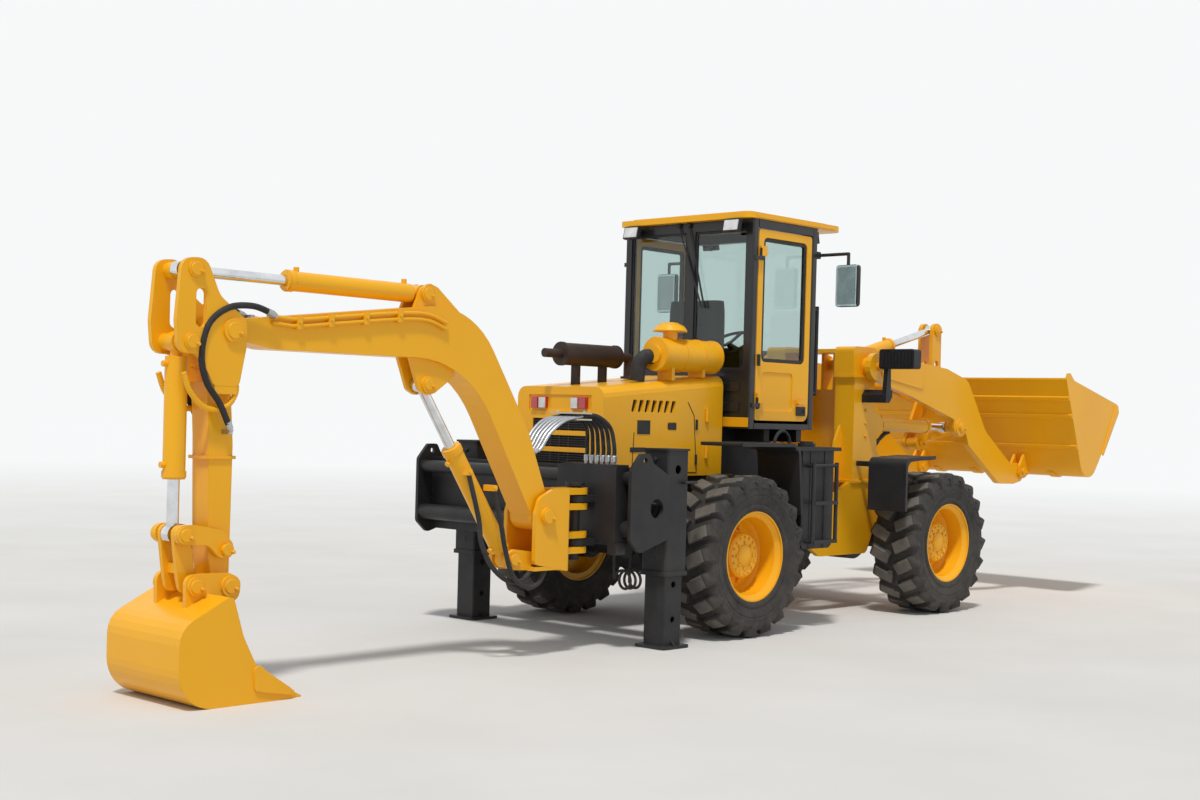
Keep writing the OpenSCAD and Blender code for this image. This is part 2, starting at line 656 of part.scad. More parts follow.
module slide_frame() {
    x0 = slide_x0;
    x1 = rigger_x - post_tube / 2 - seat;
    back = slide_x0 + 130;
    color(black) {
        both_sides() difference() {
            side_plate([[x0, 690, 40], [x0 + 90, 610, 40], [x1, 690], [x1, 1080], [x0 + 200, 1160, 30], [x0 + 165, 1220, 25],
                [x0 + 85, 1220, 25], [x0, 1120, 40]], -slide_y, 25);
            cross_bar([x0 + 125, 1175], -slide_y - 15, -slide_y + 40, 18);
            // Lightening hole
            cross_bar([x0 + 240, 880], -slide_y - 15, -slide_y + 40, 60);
        }
        for (t = slide_tubes) cross_bar(t, 24 - slide_y, slide_y - 24, t[2]);
        block([back, 24 - slide_y, 640], [back + 20, slide_y - 24, 1130]);
        for (s = [-1, 1])
            block([back + 19, s * 260 - 30, 700], [-980 - seat, s * 260 + 30, 1040]);
        for (y = [-760 : 380 : 760]) side_plate([[back + 19, 660], [back + 60, 690, 12], [back + 60, 830, 12], [back + 19, 850]], y - 8, 16);
    }
}

module outrigger_posts() {
    h = post_tube / 2;
    i = leg_tube / 2 + gap;
    color(black) both_sides() {
        difference() {
            union() {
                level_plate([for (c = [[-h, -h], [h, -h], [h, h], [-h, h]]) [rigger_x + c[0], c[1] - rigger_y, 14]], post_low, post_top - 12 - post_low);
                for (z = [[post_low, 28], [post_top - 13, 13]])
                    level_plate([for (c = [[-h, -h], [h, -h], [h, h], [-h, h]]) [rigger_x + c[0] * 1.1, c[1] * 1.1 - rigger_y, 18]], z[0], z[1]);
                block([rigger_x - 60, h - 1 - rigger_y, 700], [rigger_x + 60, -rail_y - 12 - seat, 960]);
            }
            block([rigger_x - i, -rigger_y - i, post_low - 1], [rigger_x + i, i - rigger_y, post_top - 24]);
            translate([rigger_x, -rigger_y - h - 1, 1120]) rotate([-90, 0, 0]) cylinder(h = h, r = 28);
        }
        // Handle of the locking pin
        translate([rigger_x + h - 60, -rigger_y - h - 26, 1040]) rotate([0, 90, 0]) cylinder(h = 110, r = 9);
        for (x = [rigger_x + h - 60, rigger_x + h + 40]) translate([x, -rigger_y - h - 30, 1040]) rotate([-90, 0, 0]) cylinder(h = 31, r = 9);
    }
}

module leg(side) {
    i = leg_tube / 2;
    f = foot_w / 2;
    pad = i + gap - seat;
    wall = 12;
    color(black) translate([rigger_x, side * rigger_y, 0]) {
        difference() {
            union() {
                level_plate([[-i, -i, 10], [i, -i, 10], [i, i, 10], [-i, i, 10]], 18, 772);
                block([-pad, -pad, 740], [pad, pad, 790]);
            }
            block([wall - i, wall - i, 30], [i - wall, i - wall, 791]);
            // Holes for the locking pin
            for (z = [180, 400, 610]) translate([0, -i - 1, z]) rotate([-90, 0, 0]) cylinder(h = 2 * i + 2, r = 20);
        }
        level_plate([[-f, -f, 30], [f, -f, 30], [f, f, 30], [-f, f, 30]], 0, 19);
        for (s = [-1, 1]) cross_shape([[s * (i - 1), 18], [s * (f - 16), 18], [s * (i - 1), 48]], -8, 16);
    }
}

// Front frame

module front_chassis() {
    y0 = 240;
    y1 = 420;
    x0 = pivot_f + 190;
    guard = 40;
    color(yellow) difference() {
        union() {
            both_sides() {
                // Tower, with its flanges at the foot and under the head
                side_plate([[-500, 970], [-500, 1780], [-520, 1810, 15], [-520, 2030, 40], [-210, 2030, 40], [-210, 1810, 15],
                    [-230, 1780], [-170, 1200, 60], [-170, 970]], -y1, y1 - y0);
                for (z = [978, 1790]) side_plate([[-525, z], [-155, z], [-155, z + 22], [-525, z + 22]], -y1 - 14, y1 - y0 + 20);
                side_plate([[x0, rail_z - guard], [-900, 430, 80], [-280, 430, 60], [-170, 660, 40], [150, 660],
                    [170, 760, 30], [-60, 985], [-520, 990], [-700, 900, 90], [x0, 880]], -y1, guard);
                cross_bar(arm_pin, -arm_y - arm_t / 2 - 22, -y1 + 1, pin_r);
                cross_bar(arm_pin, -arm_y + arm_t / 2 + seat, -y1 + 1, 70);
                for (d = [-1, 1])
                    side_plate([[-240, 1340], [-180, 1340], [-110, 1375, 30], [-86, 1400, 20], [-86, 1460, 20], [-110, 1485, 30], [-180, 1540], [-240, 1540]],
                        -360 + d * 46 - 10, 20);
                cross_bar(lift_low, -400, -320, pin_r);
                // Rib from the tower down to the side plate
                side_plate([[-500, 1000], [-640, 960, 40], [-560, 1300, 60], [-500, 1420]], -y0 - 60, 24);
            }
            block([-260, -y0 - 1, 690], [-220, y0 + 1, 1700]);
            block([110, -y1 + 1, 700], [140, y1 - 1, 760]);
            block([-500, guard - y1 - 1, 960], [-110, y1 - guard + 1, 985]);
            block([-520, -y0 - 1, 1980], [-230, y0 + 1, 2010]);
            block([x0, -y1 + 1, 560], [x0 + 40, y1 - 1, 880]);
            for (d = [-1, 1])
                side_plate([[-260, 1690], [-220, 1690], [-110, 1860, 60], [-110, 1950, 50], [-220, 1985], [-260, 1985]], d * 56 - 12, 24);
            cross_bar(tilt_low, -60, 60, pin_r);
            for (z = [rail_z - 26, rail_z + 66, rail_z + rail_h - 106, rail_z + rail_h - 14])
                hinge_plate(x0 + 30, pivot_f, z, 40, 95);
        }
        translate([pivot_f, 0, 0]) cylinder(h = 2000, r = steer_pin_r + seat);
    }
}

module front_fenders() {
    color(black) both_sides() {
        side_plate([[-600, 800], [-620, 790], [-620, 1150, 60], [-590, 1185, 40], [-220, 1205, 12], [-220, 1185], [-580, 1160, 30], [-600, 1140, 40]], -980, 330);
        side_plate([[-460, 1100], [-400, 1100], [-400, 1196], [-460, 1192]], -651, 12);
        side_plate([[-450, 1110, 10], [-410, 1110, 10], [-410, 1150, 10], [-450, 1150, 10]], -650, 650 - 420 - seat);
        // Lip along the outer edge
        side_plate([[-625, 795], [-600, 795], [-600, 1130, 50], [-560, 1165, 40], [-220, 1180], [-220, 1208], [-600, 1190, 50], [-625, 1150, 50]], -986, 12);
    }
}

module head_lamps() {
    color(black) both_sides() {
        difference() {
            cross_shape([[-880, 1860, 20], [-570, 1860, 20], [-570, 2010, 20], [-880, 2010, 20]], -400, 100);
            block([-312, -868, 1872], [-299, -582, 1998]);
        }
        side_plate([[-400, 1600], [-350, 1600, 30], [-310, 1650, 20], [-310, 1700], [-360, 1700], [-400, 1660]], -640, 640 - 420 - seat);
        side_plate([[-400, 1640], [-330, 1640], [-340, 1870], [-380, 1870]], -640, 36);
        for (y = [-725, -655]) translate([-330, y, 1935]) rotate([0, 90, 0]) cylinder(h = 24, r = 50);
    }
}

// Loader

// Corners of a loader arm, from the top of its rear end round its front end
arm_line = [
    [-455, 1995, 110], [660, 1900], [990, 1815, 160], [1290, 1400, 240], [1720, 1125, 120], [1905, 1130, 60], [1965, 1060, 60],
    [1920, 975, 60], [1780, 950, 60], [1540, 955, 100], [1020, 1280, 90], [975, 1385, 20], [890, 1345, 50], [790, 1395, 50], [790, 1490, 20],
    [160, 1655, 300], [-455, 1790, 100]
];

module loader_arms() {
    side = arm_y + arm_t / 2;
    color(yellow) difference() {
        union() {
            both_sides() {
                side_plate(arm_line, -side, arm_t);
                // Doubler plates and bosses round the pins
                cross_bar(lift_top, -side - 20, -396, 42);
                cross_bar(lift_top, -side - 8, -side + 1, 75);
                cross_bar(bucket_pin, -side - 5, 1 - side, 66);
                side_plate([[-300, 1960, 60], [300, 1912, 30], [300, 1720, 30], [-300, 1800, 60]], -side - 8, 9);
            }
            cross_bar([822, 1763], -arm_y, arm_y, 55);
            for (s = [-1, 1]) for (x = [800, 850]) side_plate([[x - 60, 1790, 20], [x + 90, 1790, 20], [x + 90, 1700, 20], [x - 60, 1700, 20]],
                s * (arm_y - arm_t / 2 - 12) - 12, 24);
            for (d = [-1, 1]) {
                side_plate([[780, 1790, 20], [810, 1700, 30], [950, 1660, 60], [1200, 1620, 40], [1280, 1640, 40], [1280, 1740, 40], [1200, 1760, 40], [900, 1825, 40]],
                    d * 100 - 20, 40);
                cross_bar(rocker_pin, d > 0 ? 80 : -140, d > 0 ? 140 : -80, 48);
            }
            cross_bar(rocker_pin, -90, 90, pin_r);
        }
        cross_bar(arm_pin, -arm_y - 100, arm_y + 100, pin_r + seat);
        cross_bar(bucket_pin, -arm_y - 100, arm_y + 100, pin_r + seat);
    }
}

module lift_barrels() {
    both_sides() cylinder_barrel(lift_low, lift_top, -360, 767, 52, 60, 28, -1);
}

module lift_rods() {
    both_sides() cylinder_rod(lift_low, lift_top, -360, 90 + lift_in, 60, 28);
}

module tilt_barrel() {
    cylinder_barrel(tilt_low, rocker_top, 0, 785, 58, 70, 31, -1);
}

module tilt_rod() {
    cylinder_rod(tilt_low, rocker_top, 0, 90 + tilt_in, 66, 31);
}

module rocker() {
    color(yellow) difference() {
        union() {
            for (d = [-1, 1]) {
                side_plate([[1150, 2310, 60], [1285, 2310, 60], [1292, 1720, 80], [1260, 1620, 60], [1070, 1240, 60], [975, 1215, 60],
                    [935, 1290, 50], [1148, 1680, 90]], d * 57 - 15, 30);
                cross_bar(rocker_top, d > 0 ? 71 : -88, d > 0 ? 88 : -71, 48);
            }
            cross_bar(rocker_pin, -72, 72, 60);
            cross_bar(rocker_low, -90, 90, pin_r);
        }
        cross_bar(rocker_pin, -130, 130, pin_r + seat);
        // Lightening holes
        cross_bar([1220, 1960], -100, 100, 32);
    }
}

module tilt_link() {
    color(yellow) difference() {
        union() {
            way_bar(rocker_low, bucket_link_pin, 0, 40, dist(rocker_low, bucket_link_pin) - 40, 32);
            cross_bar(rocker_low, -36, 36, 50);
            cross_bar(bucket_link_pin, -36, 36, 50);
        }
        cross_bar(rocker_low, -40, 40, pin_r + seat);
        cross_bar(bucket_link_pin, -40, 40, pin_r + seat);
    }
}

// Corners of the front bucket's shell: top of the back, heel and cutting edge
scoop = [[1660, 1850], [2054, 873, 158], [2630, 1610]];

module loader_bucket() {
    h = bucket_w / 2;
    t = bucket_t;
    back = unit(scoop[0], scoop[1]);
    lip = unit(scoop[1], scoop[2]);
    edge = flat(scoop[2]) - 14 * lip;
    // The way out of the floor, for the thickness of the cutting edge
    out = 10 * [lip[1], -lip[0]];
    color(yellow) {
        side_plate(shell(scoop, t), -h, 2 * h);
        for (s = [-1, 1]) {
            side_plate(concat(scoop, [[2600, 1662, 20], [1800, 1845, 60], [1725, 1905, 20], [1680, 1905, 20]]), s > 0 ? h - t : -h, t);
            for (d = [-1, 1])
                side_plate([[1835, 1110], [1836, 1030, 50], [1890, 990, 60], [1980, 1030, 30], [2020, 1080], [1950, 1185], [1915, 1220]],
                    s * arm_y + d * (arm_t / 2 + gap + 12) - 12, 24);
            cross_bar(bucket_pin, s * arm_y - arm_t / 2 - 44, s * arm_y + arm_t / 2 + 44, pin_r);
            // Side cutter
            side_plate([[2330, 1230], [2352, 1214], [2620, 1590], [2600, 1664, 20], [2560, 1640, 20]], s > 0 ? h - 1 : -h - 9, 10);
        }
        for (d = [-1, 1])
            side_plate([[1708, 1450, 30], [1708, 1390, 30], [1750, 1362, 20], [1870, 1340], [1790, 1545], [1740, 1490, 30]], d * 54 - 12, 24);
        // Stiffening ribs across the back, the top lip and the cutting edge
        for (d = [170, 330, 610]) rib_bar(flat(scoop[0]) + d * back, back, h - 2);
        block([1660, -h, 1848], [1720, h, 1864]);
        side_plate([edge - 190 * lip, edge - 190 * lip + out, edge + out, edge], -h, 2 * h);
        // Wear strips under the heel
        for (y = [-760 : 380 : 760]) intersection() {
            side_plate(shell(inset(scoop, -12), 13), y - 30, 60);
            block([1990, -h, 900], [2420, h, 1600]);
        }
    }
}

// A rounded rib across a plate at p, where the plate runs along d
module rib_bar(p, d, half) {
    n = [d[1], -d[0]];
    side_plate([p - 22 * d - n, p - 14 * d + 14 * n, p + 14 * d + 14 * n, p + 22 * d - n], -half, 2 * half);
}

// Backhoe

module carriage() {
    y = hoe_y;
    x0 = slide_x0 - 40;
    x1 = slide_x0 + 120;
    color(black) difference() {
        union() {
            for (s = [-1, 1]) side_plate([[x0, 660], [x0 + 30, 640, 20], [x1, 680, 30], [x1, 1120, 30], [x0, 1140]], y + s * 225 - 25, 50);
            block([x0, y - 249, 680], [x0 + 30, y + 249, 1130]);
            for (z = [915, 650]) translate([0, y, 0]) hinge_plate(x0 + 10, swing_x, z, 40, 85);
            translate([swing_x, y, 560]) cylinder(h = 460, r = steer_pin_r);
            translate([swing_x, y, 1012]) cylinder(h = 20, r = 60);
            // Hose tray above the swing pivot's plates, and the locks under the side plates
            block([x0 + 1, y - 215, 1128], [x1 - 10, y + 215, 1146]);
            for (s = [-1, 1]) block([x0 + 1, y + s * 225 - 34, 600], [x0 + 90, y + s * 225 + 34, 672]);
        }
        for (t = slide_tubes) cross_bar(t, y - 300, y + 300, t[2] + seat);
    }
}

module swing_bracket() {
    y = hoe_y;
    color(yellow) difference() {
        union() {
            for (s = [-1, 1]) {
                side_plate([[-1860, 560, 30], [-1590, 510, 20], [-1580, 1000, 20], [-1720, 1000, 60], [-1830, 950, 60], [-1860, 860, 60]], y + s * 122 - 14, 28);
                side_plate([[-2034, 620, 30], [-2034, 545, 40], [-1960, 528, 40], [-1590, 510], [-1590, 600], [-1960, 650, 40]], y + s * 60 - 15, 30);
                cross_bar(boom_foot, s > 0 ? y + 135 : y - 158, s > 0 ? y + 158 : y - 135, 52);
            }
            block([-1610, y - 135, 511], [-1580, y + 135, 999]);
            block([-1859, y - 135, 521], [-1590, y + 135, 545]);
            for (z = [869, 961, 604, 696])
                translate([0, y, 0]) hinge_plate(-1600, swing_x, z, 40, 80);
            cross_bar(boom_foot, y - 150, y + 150, pin_r);
            cross_bar(boom_cyl_low, y - 90, y + 90, pin_r);
        }
        translate([swing_x, y, 0]) cylinder(h = 2000, r = steer_pin_r + seat);
    }
}

module boom() {
    y = hoe_y;
    w = boom_w / 2;
    color(yellow) difference() {
        union() {
            side_plate([[-3960, 1870, 40], [-2358, 2059, 500], [-1895, 1347, 800], [-1684, 850], [-1856, 850], [-2387, 1735, 640], [-3700, 1735, 200], [-3960, 1780, 40]],
                y - w, 2 * w);
            cross_bar(boom_tip, y - w, y + w, 75);
            cross_bar(boom_foot, y - w, y + w, 87);
            cross_bar(boom_foot, y - 102, y + 102, 60);
            // Ears for the cylinders over and under the box
            for (s = [-1, 1]) {
                side_plate([[-2775, 1985], [-2720, 2120, 30], [-2660, 2150, 30], [-2600, 2130, 30], [-2400, 1975]], y + s * 56 - 12, 24);
                side_plate([[-2790, 1750], [-2715, 1560, 40], [-2655, 1530, 50], [-2600, 1545, 40], [-2460, 1640], [-2480, 1700]], y + s * 50 - 12, 24);
                cross_bar(boom_cyl_top, s > 0 ? y + 61 : y - 78, s > 0 ? y + 78 : y - 61, 46);
                cross_bar(stick_cyl_front, s > 0 ? y + 67 : y - 84, s > 0 ? y + 84 : y - 67, 44);
            }
            cross_bar(stick_cyl_front, y - 84, y + 84, pin_r);
        }
        cross_bar(boom_foot, y - 300, y + 300, pin_r + seat);
        cross_bar(boom_tip, y - 300, y + 300, pin_r + seat);
    }
}

module boom_barrel() {
    cylinder_barrel(boom_cyl_low, boom_cyl_top, hoe_y, 790, 55, 64, 30, -1);
}

module boom_rod() {
    cylinder_rod(boom_cyl_low, boom_cyl_top, hoe_y, 90 + boom_in, 60, 30);
}

// The barrel of a cylinder from its eye at p towards q, up to len, with its ports on the given side
module cylinder_barrel(p, q, y, len, r, eye_w, rod_r, ports) {
    color(yellow) difference() {
        union() {
            cross_bar(p, y - eye_w / 2, y + eye_w / 2, 50);
            way_bar(p, q, y, 30, 80, eye_w / 2 - 2);
            way_bar(p, q, y, 72, len, r);
            // Gland and the two ports
            way_bar(p, q, y, len - 40, len - 8, r + 5);
            for (d = [110, len - 70]) translate([p[0], y, p[1]]) rotate([0, atan2(q[0] - p[0], q[1] - p[1]), 0])
                translate([0, 0, d]) rotate([0, ports * 90, 0]) cylinder(h = r + 22, r = 15);
        }
        cross_bar(p, y - eye_w, y + eye_w, pin_r + seat);
        way_bar(p, q, y, 86, len - 60, r - 12);
        way_bar(p, q, y, 86, len + 1, rod_r + seat);
    }
}

// The rod of a cylinder from d0 to its eye at q
module cylinder_rod(p, q, y, d0, eye_w, r) {
    color(steel) {
        way_bar(p, q, y, d0, dist(p, q) - 34, r);
        difference() {
            cross_bar(q, y - eye_w / 2, y + eye_w / 2, 45);
            cross_bar(q, y - eye_w, y + eye_w, pin_r + 1);
        }
    }
}

module stick() {
    y = hoe_y;
    w = stick_w / 2;
    color(yellow) difference() {
        union() {
            side_plate([[-4075, 1560], [-3940, 1560], [-3918, 1250, 300], [-3925, 560, 30], [-3950, 500, 30], [-4005, 500, 30], [-4045, 700, 200], [-4060, 1300, 300]],
                y - w, 2 * w);
            for (s = [-1, 1]) {
                side_plate([[-4265, 2150, 60], [-4130, 2160, 70], [-4050, 1980, 120], [-3890, 1870, 60], [-3890, 1740, 80], [-3930, 1540, 30], [-4075, 1540, 30],
                    [-4160, 1690, 60], [-4275, 1690, 60], [-4290, 1850, 80]], y + s * 115 - 15, 30);
                cross_bar(stick_cyl_rear, s > 0 ? y + 38 : y - 140, s > 0 ? y + 140 : y - 38, 42);
                cross_bar(bucket_cyl_top, s > 0 ? y + 38 : y - 140, s > 0 ? y + 140 : y - 38, 42);
                cross_bar(boom_tip, s > 0 ? y + 99 : y - 145, s > 0 ? y + 145 : y - 99, 60);
                cross_bar(hoe_pin, s > 0 ? y + w - 1 : y - w - 38, s > 0 ? y + w + 38 : y - w + 1, 50);
            }
            block([-4070, y - 129, 1500], [-3940, y + 129, 1560]);
            // Collar that carries the hose clamp
            block([-4075, y - w - 10, 1180], [-3905, y + w + 10, 1196]);
            cross_bar(boom_tip, y - 110, y + 110, pin_r);
            cross_bar(bucket_cyl_top, y - 110, y + 110, pin_r);
            cross_bar(guide_pin, y - 130, y + 130, pin_r);
        }
        cross_bar(hoe_pin, y - 300, y + 300, pin_r + seat);
        // Slots in the head plates
        side_plate([[-4185, 1820, 28], [-4125, 1820, 28], [-4125, 2010, 28], [-4185, 2010, 28]], y - 200, 400);
    }
}

module stick_barrel() {
    cylinder_barrel(stick_cyl_front, stick_cyl_rear, hoe_y, 900, 52, 74, 28, 1);
}

module stick_rod() {
    cylinder_rod(stick_cyl_front, stick_cyl_rear, hoe_y, 90 + stick_in, 60, 28);
}

module bucket_barrel() {
    cylinder_barrel(bucket_cyl_top, bucket_cyl_low, hoe_y, 670, 55, 64, 30, 1);
}

module bucket_rod() {
    cylinder_rod(bucket_cyl_top, bucket_cyl_low, hoe_y, 90 + bucket_in, 60, 30);
}

module guide_link() {
    y = hoe_y;
    color(yellow) difference() {
        for (s = [-1, 1]) {
            side_plate([[-4250, 860, 45], [-4150, 862, 60], [-3985, 830, 60], [-3925, 760, 40], [-3930, 695, 30], [-4000, 690, 60], [-4070, 760, 60], [-4250, 765, 45]],
                y + s * 95 - 14, 28);
            cross_bar(bucket_cyl_low, s > 0 ? y + 40 : y - 125, s > 0 ? y + 125 : y - 40, pin_r);
            cross_bar(bucket_cyl_low, s > 0 ? y + 108 : y - 125, s > 0 ? y + 125 : y - 108, 44);
        }
        cross_bar(guide_pin, y - 200, y + 200, pin_r + seat);
    }
}

module h_link() {
    y = hoe_y;
    color(yellow) difference() {
        union() {
            for (s = [-1, 1])
                side_plate([[-4250, 860, 42], [-4160, 858, 42], [-4118, 600, 60], [-4125, 528, 36], [-4198, 528, 36], [-4215, 600, 60]],
                    y + s * 60 - 14, 28);
            block([-4195, y - 61, 620], [-4155, y + 61, 670]);
        }
        cross_bar(bucket_cyl_low, y - 200, y + 200, pin_r + seat);
    }
}

// Corners of the hoe bucket's shell: top of the mouth, back, heel and lip
hoe_scoop = [[-4085, 527], [rear_end, 390, 130], [rear_end, 0, 190], [-3712, 0]];

module hoe_bucket() {
    y = hoe_y;
    w = hoe_bucket_w / 2;
    t = bucket_t;
    step = (hoe_bucket_w - 80) / (tooth_count - 1);
    color(yellow) {
        side_plate(shell(hoe_scoop, t), y - w, 2 * w);
        for (s = [-1, 1]) {
            side_plate(concat(hoe_scoop, [[-3735, 45, 20], [-3905, 150, 120], [-4000, 330, 200], [-4060, 520]]), s > 0 ? y + w - t : y - w, t);
            // Side cutter
            side_plate([[-3935, 60, 20], [-3722, 20], [-3716, 52, 15], [-3880, 160, 60], [-3950, 262, 30]], s > 0 ? y + w - 1 : y - w - 11, 12);
            side_plate([[-4210, 460], [-4214, 620, 45], [-4120, 625, 60], [-3967, 622, 50], [-3900, 590, 50], [-3910, 490, 50], [-3990, 470, 40], [-4084, 524], [-4190, 465]],
                y + s * 130 - 15, 30);
            cross_bar(hoe_link_pin, s > 0 ? y + 116 : y - 160, s > 0 ? y + 160 : y - 116, 46);
            cross_bar(hoe_pin, s > 0 ? y + 116 : y - 160, s > 0 ? y + 160 : y - 116, 52);
        }
        for (i = [0 : tooth_count - 1]) {
            side_plate([[-3810, 10], [-3795, 46, 10], [-3735, 56, 14], [-3690, 40], [-3690, 0], [-3730, 0]], y - w + 40 + i * step - 32, 64);
            side_plate([[-3692, 2], [-3692, 34], [-3640, 8], [-3640, 0]], y - w + 40 + i * step - 22, 44);
        }
        cross_bar(hoe_pin, y - 120, y + 120, pin_r);
    }
}

place() rear_chassis();
place() axle(0, rail_y - 15, rail_z + 240);  // rear_axle
place() transfer_box();
place() engine();
place() hood();
place() rear_lamps();
place() work_lamps();
place() muffler();
place() air_cleaner();
place() cab_frame();
place() cab_roof();
place() cab_glass();
place() seat_base();
place() operator_seat();
place() steering_console();
place() side_tanks();
place() hand_rails();
place() mirrors();
place() slide_frame();
place() outrigger_posts();
place() leg(-1);  // right_leg
place() leg(1);  // left_leg
place() door();  // right_door
place() door_glass();  // right_door_glass
place() mirror([0, 1, 0]) door();  // left_door
place() mirror([0, 1, 0]) door_glass();  // left_door_glass
place_front() front_chassis();
place_front() {  // front_axle
    axle(0, 400, 660);
    drive_shaft();
}
place_front() front_fenders();
place_front() head_lamps();
place() tyre(0, -1);  // rear_right_tyre
place() rim(0, -1);  // rear_right_rim
place() tyre(0, 1);  // rear_left_tyre
place() rim(0, 1);  // rear_left_rim
place_front() tyre(0, -1);  // front_right_tyre
place_front() rim(0, -1);  // front_right_rim
place_front() tyre(0, 1);  // front_left_tyre
place_front() rim(0, 1);  // front_left_rim
place_front() loader_arms();
place_front() lift_barrels();
place_front() lift_rods();
place_front() tilt_barrel();
place_front() tilt_rod();
place_front() rocker();
place_front() tilt_link();
place_front() loader_bucket();
place() carriage();
place() swing_bracket();
place() boom();
place() boom_barrel();
place() boom_rod();
place() stick();
place() stick_barrel();
place() stick_rod();
place() bucket_barrel();
place() bucket_rod();
place() guide_link();
place() h_link();
place() hoe_bucket();
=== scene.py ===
"""Looks of a backhoe loader: finishes, hoses, fittings, studio and camera.

Everything is in metres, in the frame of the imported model. Places that go through mm() or front()
are the part's own millimetres.
"""
import json
import math
import bmesh
import bpy
from mathutils import Matrix, Vector


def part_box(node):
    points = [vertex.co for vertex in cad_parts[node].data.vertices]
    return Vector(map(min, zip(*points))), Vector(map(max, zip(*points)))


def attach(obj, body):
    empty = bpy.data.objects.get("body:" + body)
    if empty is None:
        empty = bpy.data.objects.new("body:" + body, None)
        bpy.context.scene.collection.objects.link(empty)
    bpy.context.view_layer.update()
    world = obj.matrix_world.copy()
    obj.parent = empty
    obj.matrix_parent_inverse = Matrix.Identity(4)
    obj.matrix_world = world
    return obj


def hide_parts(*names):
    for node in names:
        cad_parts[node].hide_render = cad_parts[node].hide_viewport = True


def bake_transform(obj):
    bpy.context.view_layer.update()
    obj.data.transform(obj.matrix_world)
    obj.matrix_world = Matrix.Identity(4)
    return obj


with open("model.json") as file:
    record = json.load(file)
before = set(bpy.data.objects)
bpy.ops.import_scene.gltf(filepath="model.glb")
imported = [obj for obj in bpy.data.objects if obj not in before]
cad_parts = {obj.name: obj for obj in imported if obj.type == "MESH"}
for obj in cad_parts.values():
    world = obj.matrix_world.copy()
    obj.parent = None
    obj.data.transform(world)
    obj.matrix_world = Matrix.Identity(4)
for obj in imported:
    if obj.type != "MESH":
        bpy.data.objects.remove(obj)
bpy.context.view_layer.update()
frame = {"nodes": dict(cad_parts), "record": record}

# Camera: its place and aim, from a fit to the photograph

CAMERA_AT = Vector((-8.920, -7.636, 1.447))
CAMERA_YAW = math.radians(43.33)
CAMERA_PITCH = -0.011
CAMERA_ROLL = 0.027
IMAGE_W = 1200
FOCAL_PX = 1637.4
SHIFT_PX = 33.2
SENSOR_MM = 36.0
VIEW_END = 200


def make_camera():
    data = bpy.data.cameras.new("camera")
    data.sensor_width = SENSOR_MM
    data.lens = FOCAL_PX / IMAGE_W * SENSOR_MM
    data.shift_y = SHIFT_PX / IMAGE_W
    data.clip_end = VIEW_END
    camera = bpy.data.objects.new("camera", data)
    bpy.context.scene.collection.objects.link(camera)
    flat = math.cos(CAMERA_PITCH)
    ahead = Vector((flat * math.cos(CAMERA_YAW), flat * math.sin(CAMERA_YAW), math.sin(CAMERA_PITCH)))
    right = Vector((math.sin(CAMERA_YAW), -math.cos(CAMERA_YAW), 0))
    up = right.cross(ahead)
    turned_right = math.cos(CAMERA_ROLL) * right + math.sin(CAMERA_ROLL) * up
    turned_up = -math.sin(CAMERA_ROLL) * right + math.cos(CAMERA_ROLL) * up
    turn = Matrix((turned_right, turned_up, -ahead)).transposed()
    camera.matrix_world = Matrix.Translation(CAMERA_AT) @ turn.to_4x4()
    bpy.context.scene.camera = camera


# Places: the part's own millimetres, measured from the middle of an axle, as metres in this frame

REAR_AXLE_X = -337
WHEELBASE = 2400
FRONT_AXLE_X = REAR_AXLE_X + WHEELBASE
HOE_Y = -660
WHEEL_Y = 805
WHEEL_Z = 540
X = Vector((1, 0, 0))
Y = Vector((0, 1, 0))
Z = Vector((0, 0, 1))
SIDES = (("right", -1), ("left", 1))


def mm(x, y, z):
    """A place measured from the rear axle."""
    return Vector((x + REAR_AXLE_X, y, z)) / 1000


def front(x, y, z):
    """A place measured from the front axle."""
    return Vector((x + FRONT_AXLE_X, y, z)) / 1000


def span(sign, inner, outer, middle=0):
    """The lower and the higher of two distances to one side of a middle."""
    return sorted((middle + sign * inner, middle + sign * outer))


def round_angles(count):
    """Angles once around, in equal steps."""
    return [2 * math.pi * i / count for i in range(count)]


def smooth_line(points, steps=8):
    """Points of a curve that passes through the given ones."""
    ends = [2 * points[0] - points[1], *points, 2 * points[-1] - points[-2]]
    line = []
    for a, b, c, d in zip(ends, ends[1:], ends[2:], ends[3:]):
        for step in range(steps):
            t = step / steps
            bent = (2 * b + (c - a) * t + (2 * a - 5 * b + 4 * c - d) * t * t
                    + (3 * b - a - 3 * c + d) * t ** 3)
            line.append(bent / 2)
    return [*line, points[-1]]


# Shapes

# Edges sharper than this many degrees stay sharp. Hoses are round all the way.
SMOOTH = 35
HOSE_SMOOTH = 60
# Of a bolt: the washer's radius and height, and where the head's bevel starts, as shares of the head's
WASHER_RADIUS = 1.25
WASHER_HEIGHT = 0.18
BEVEL = 0.85


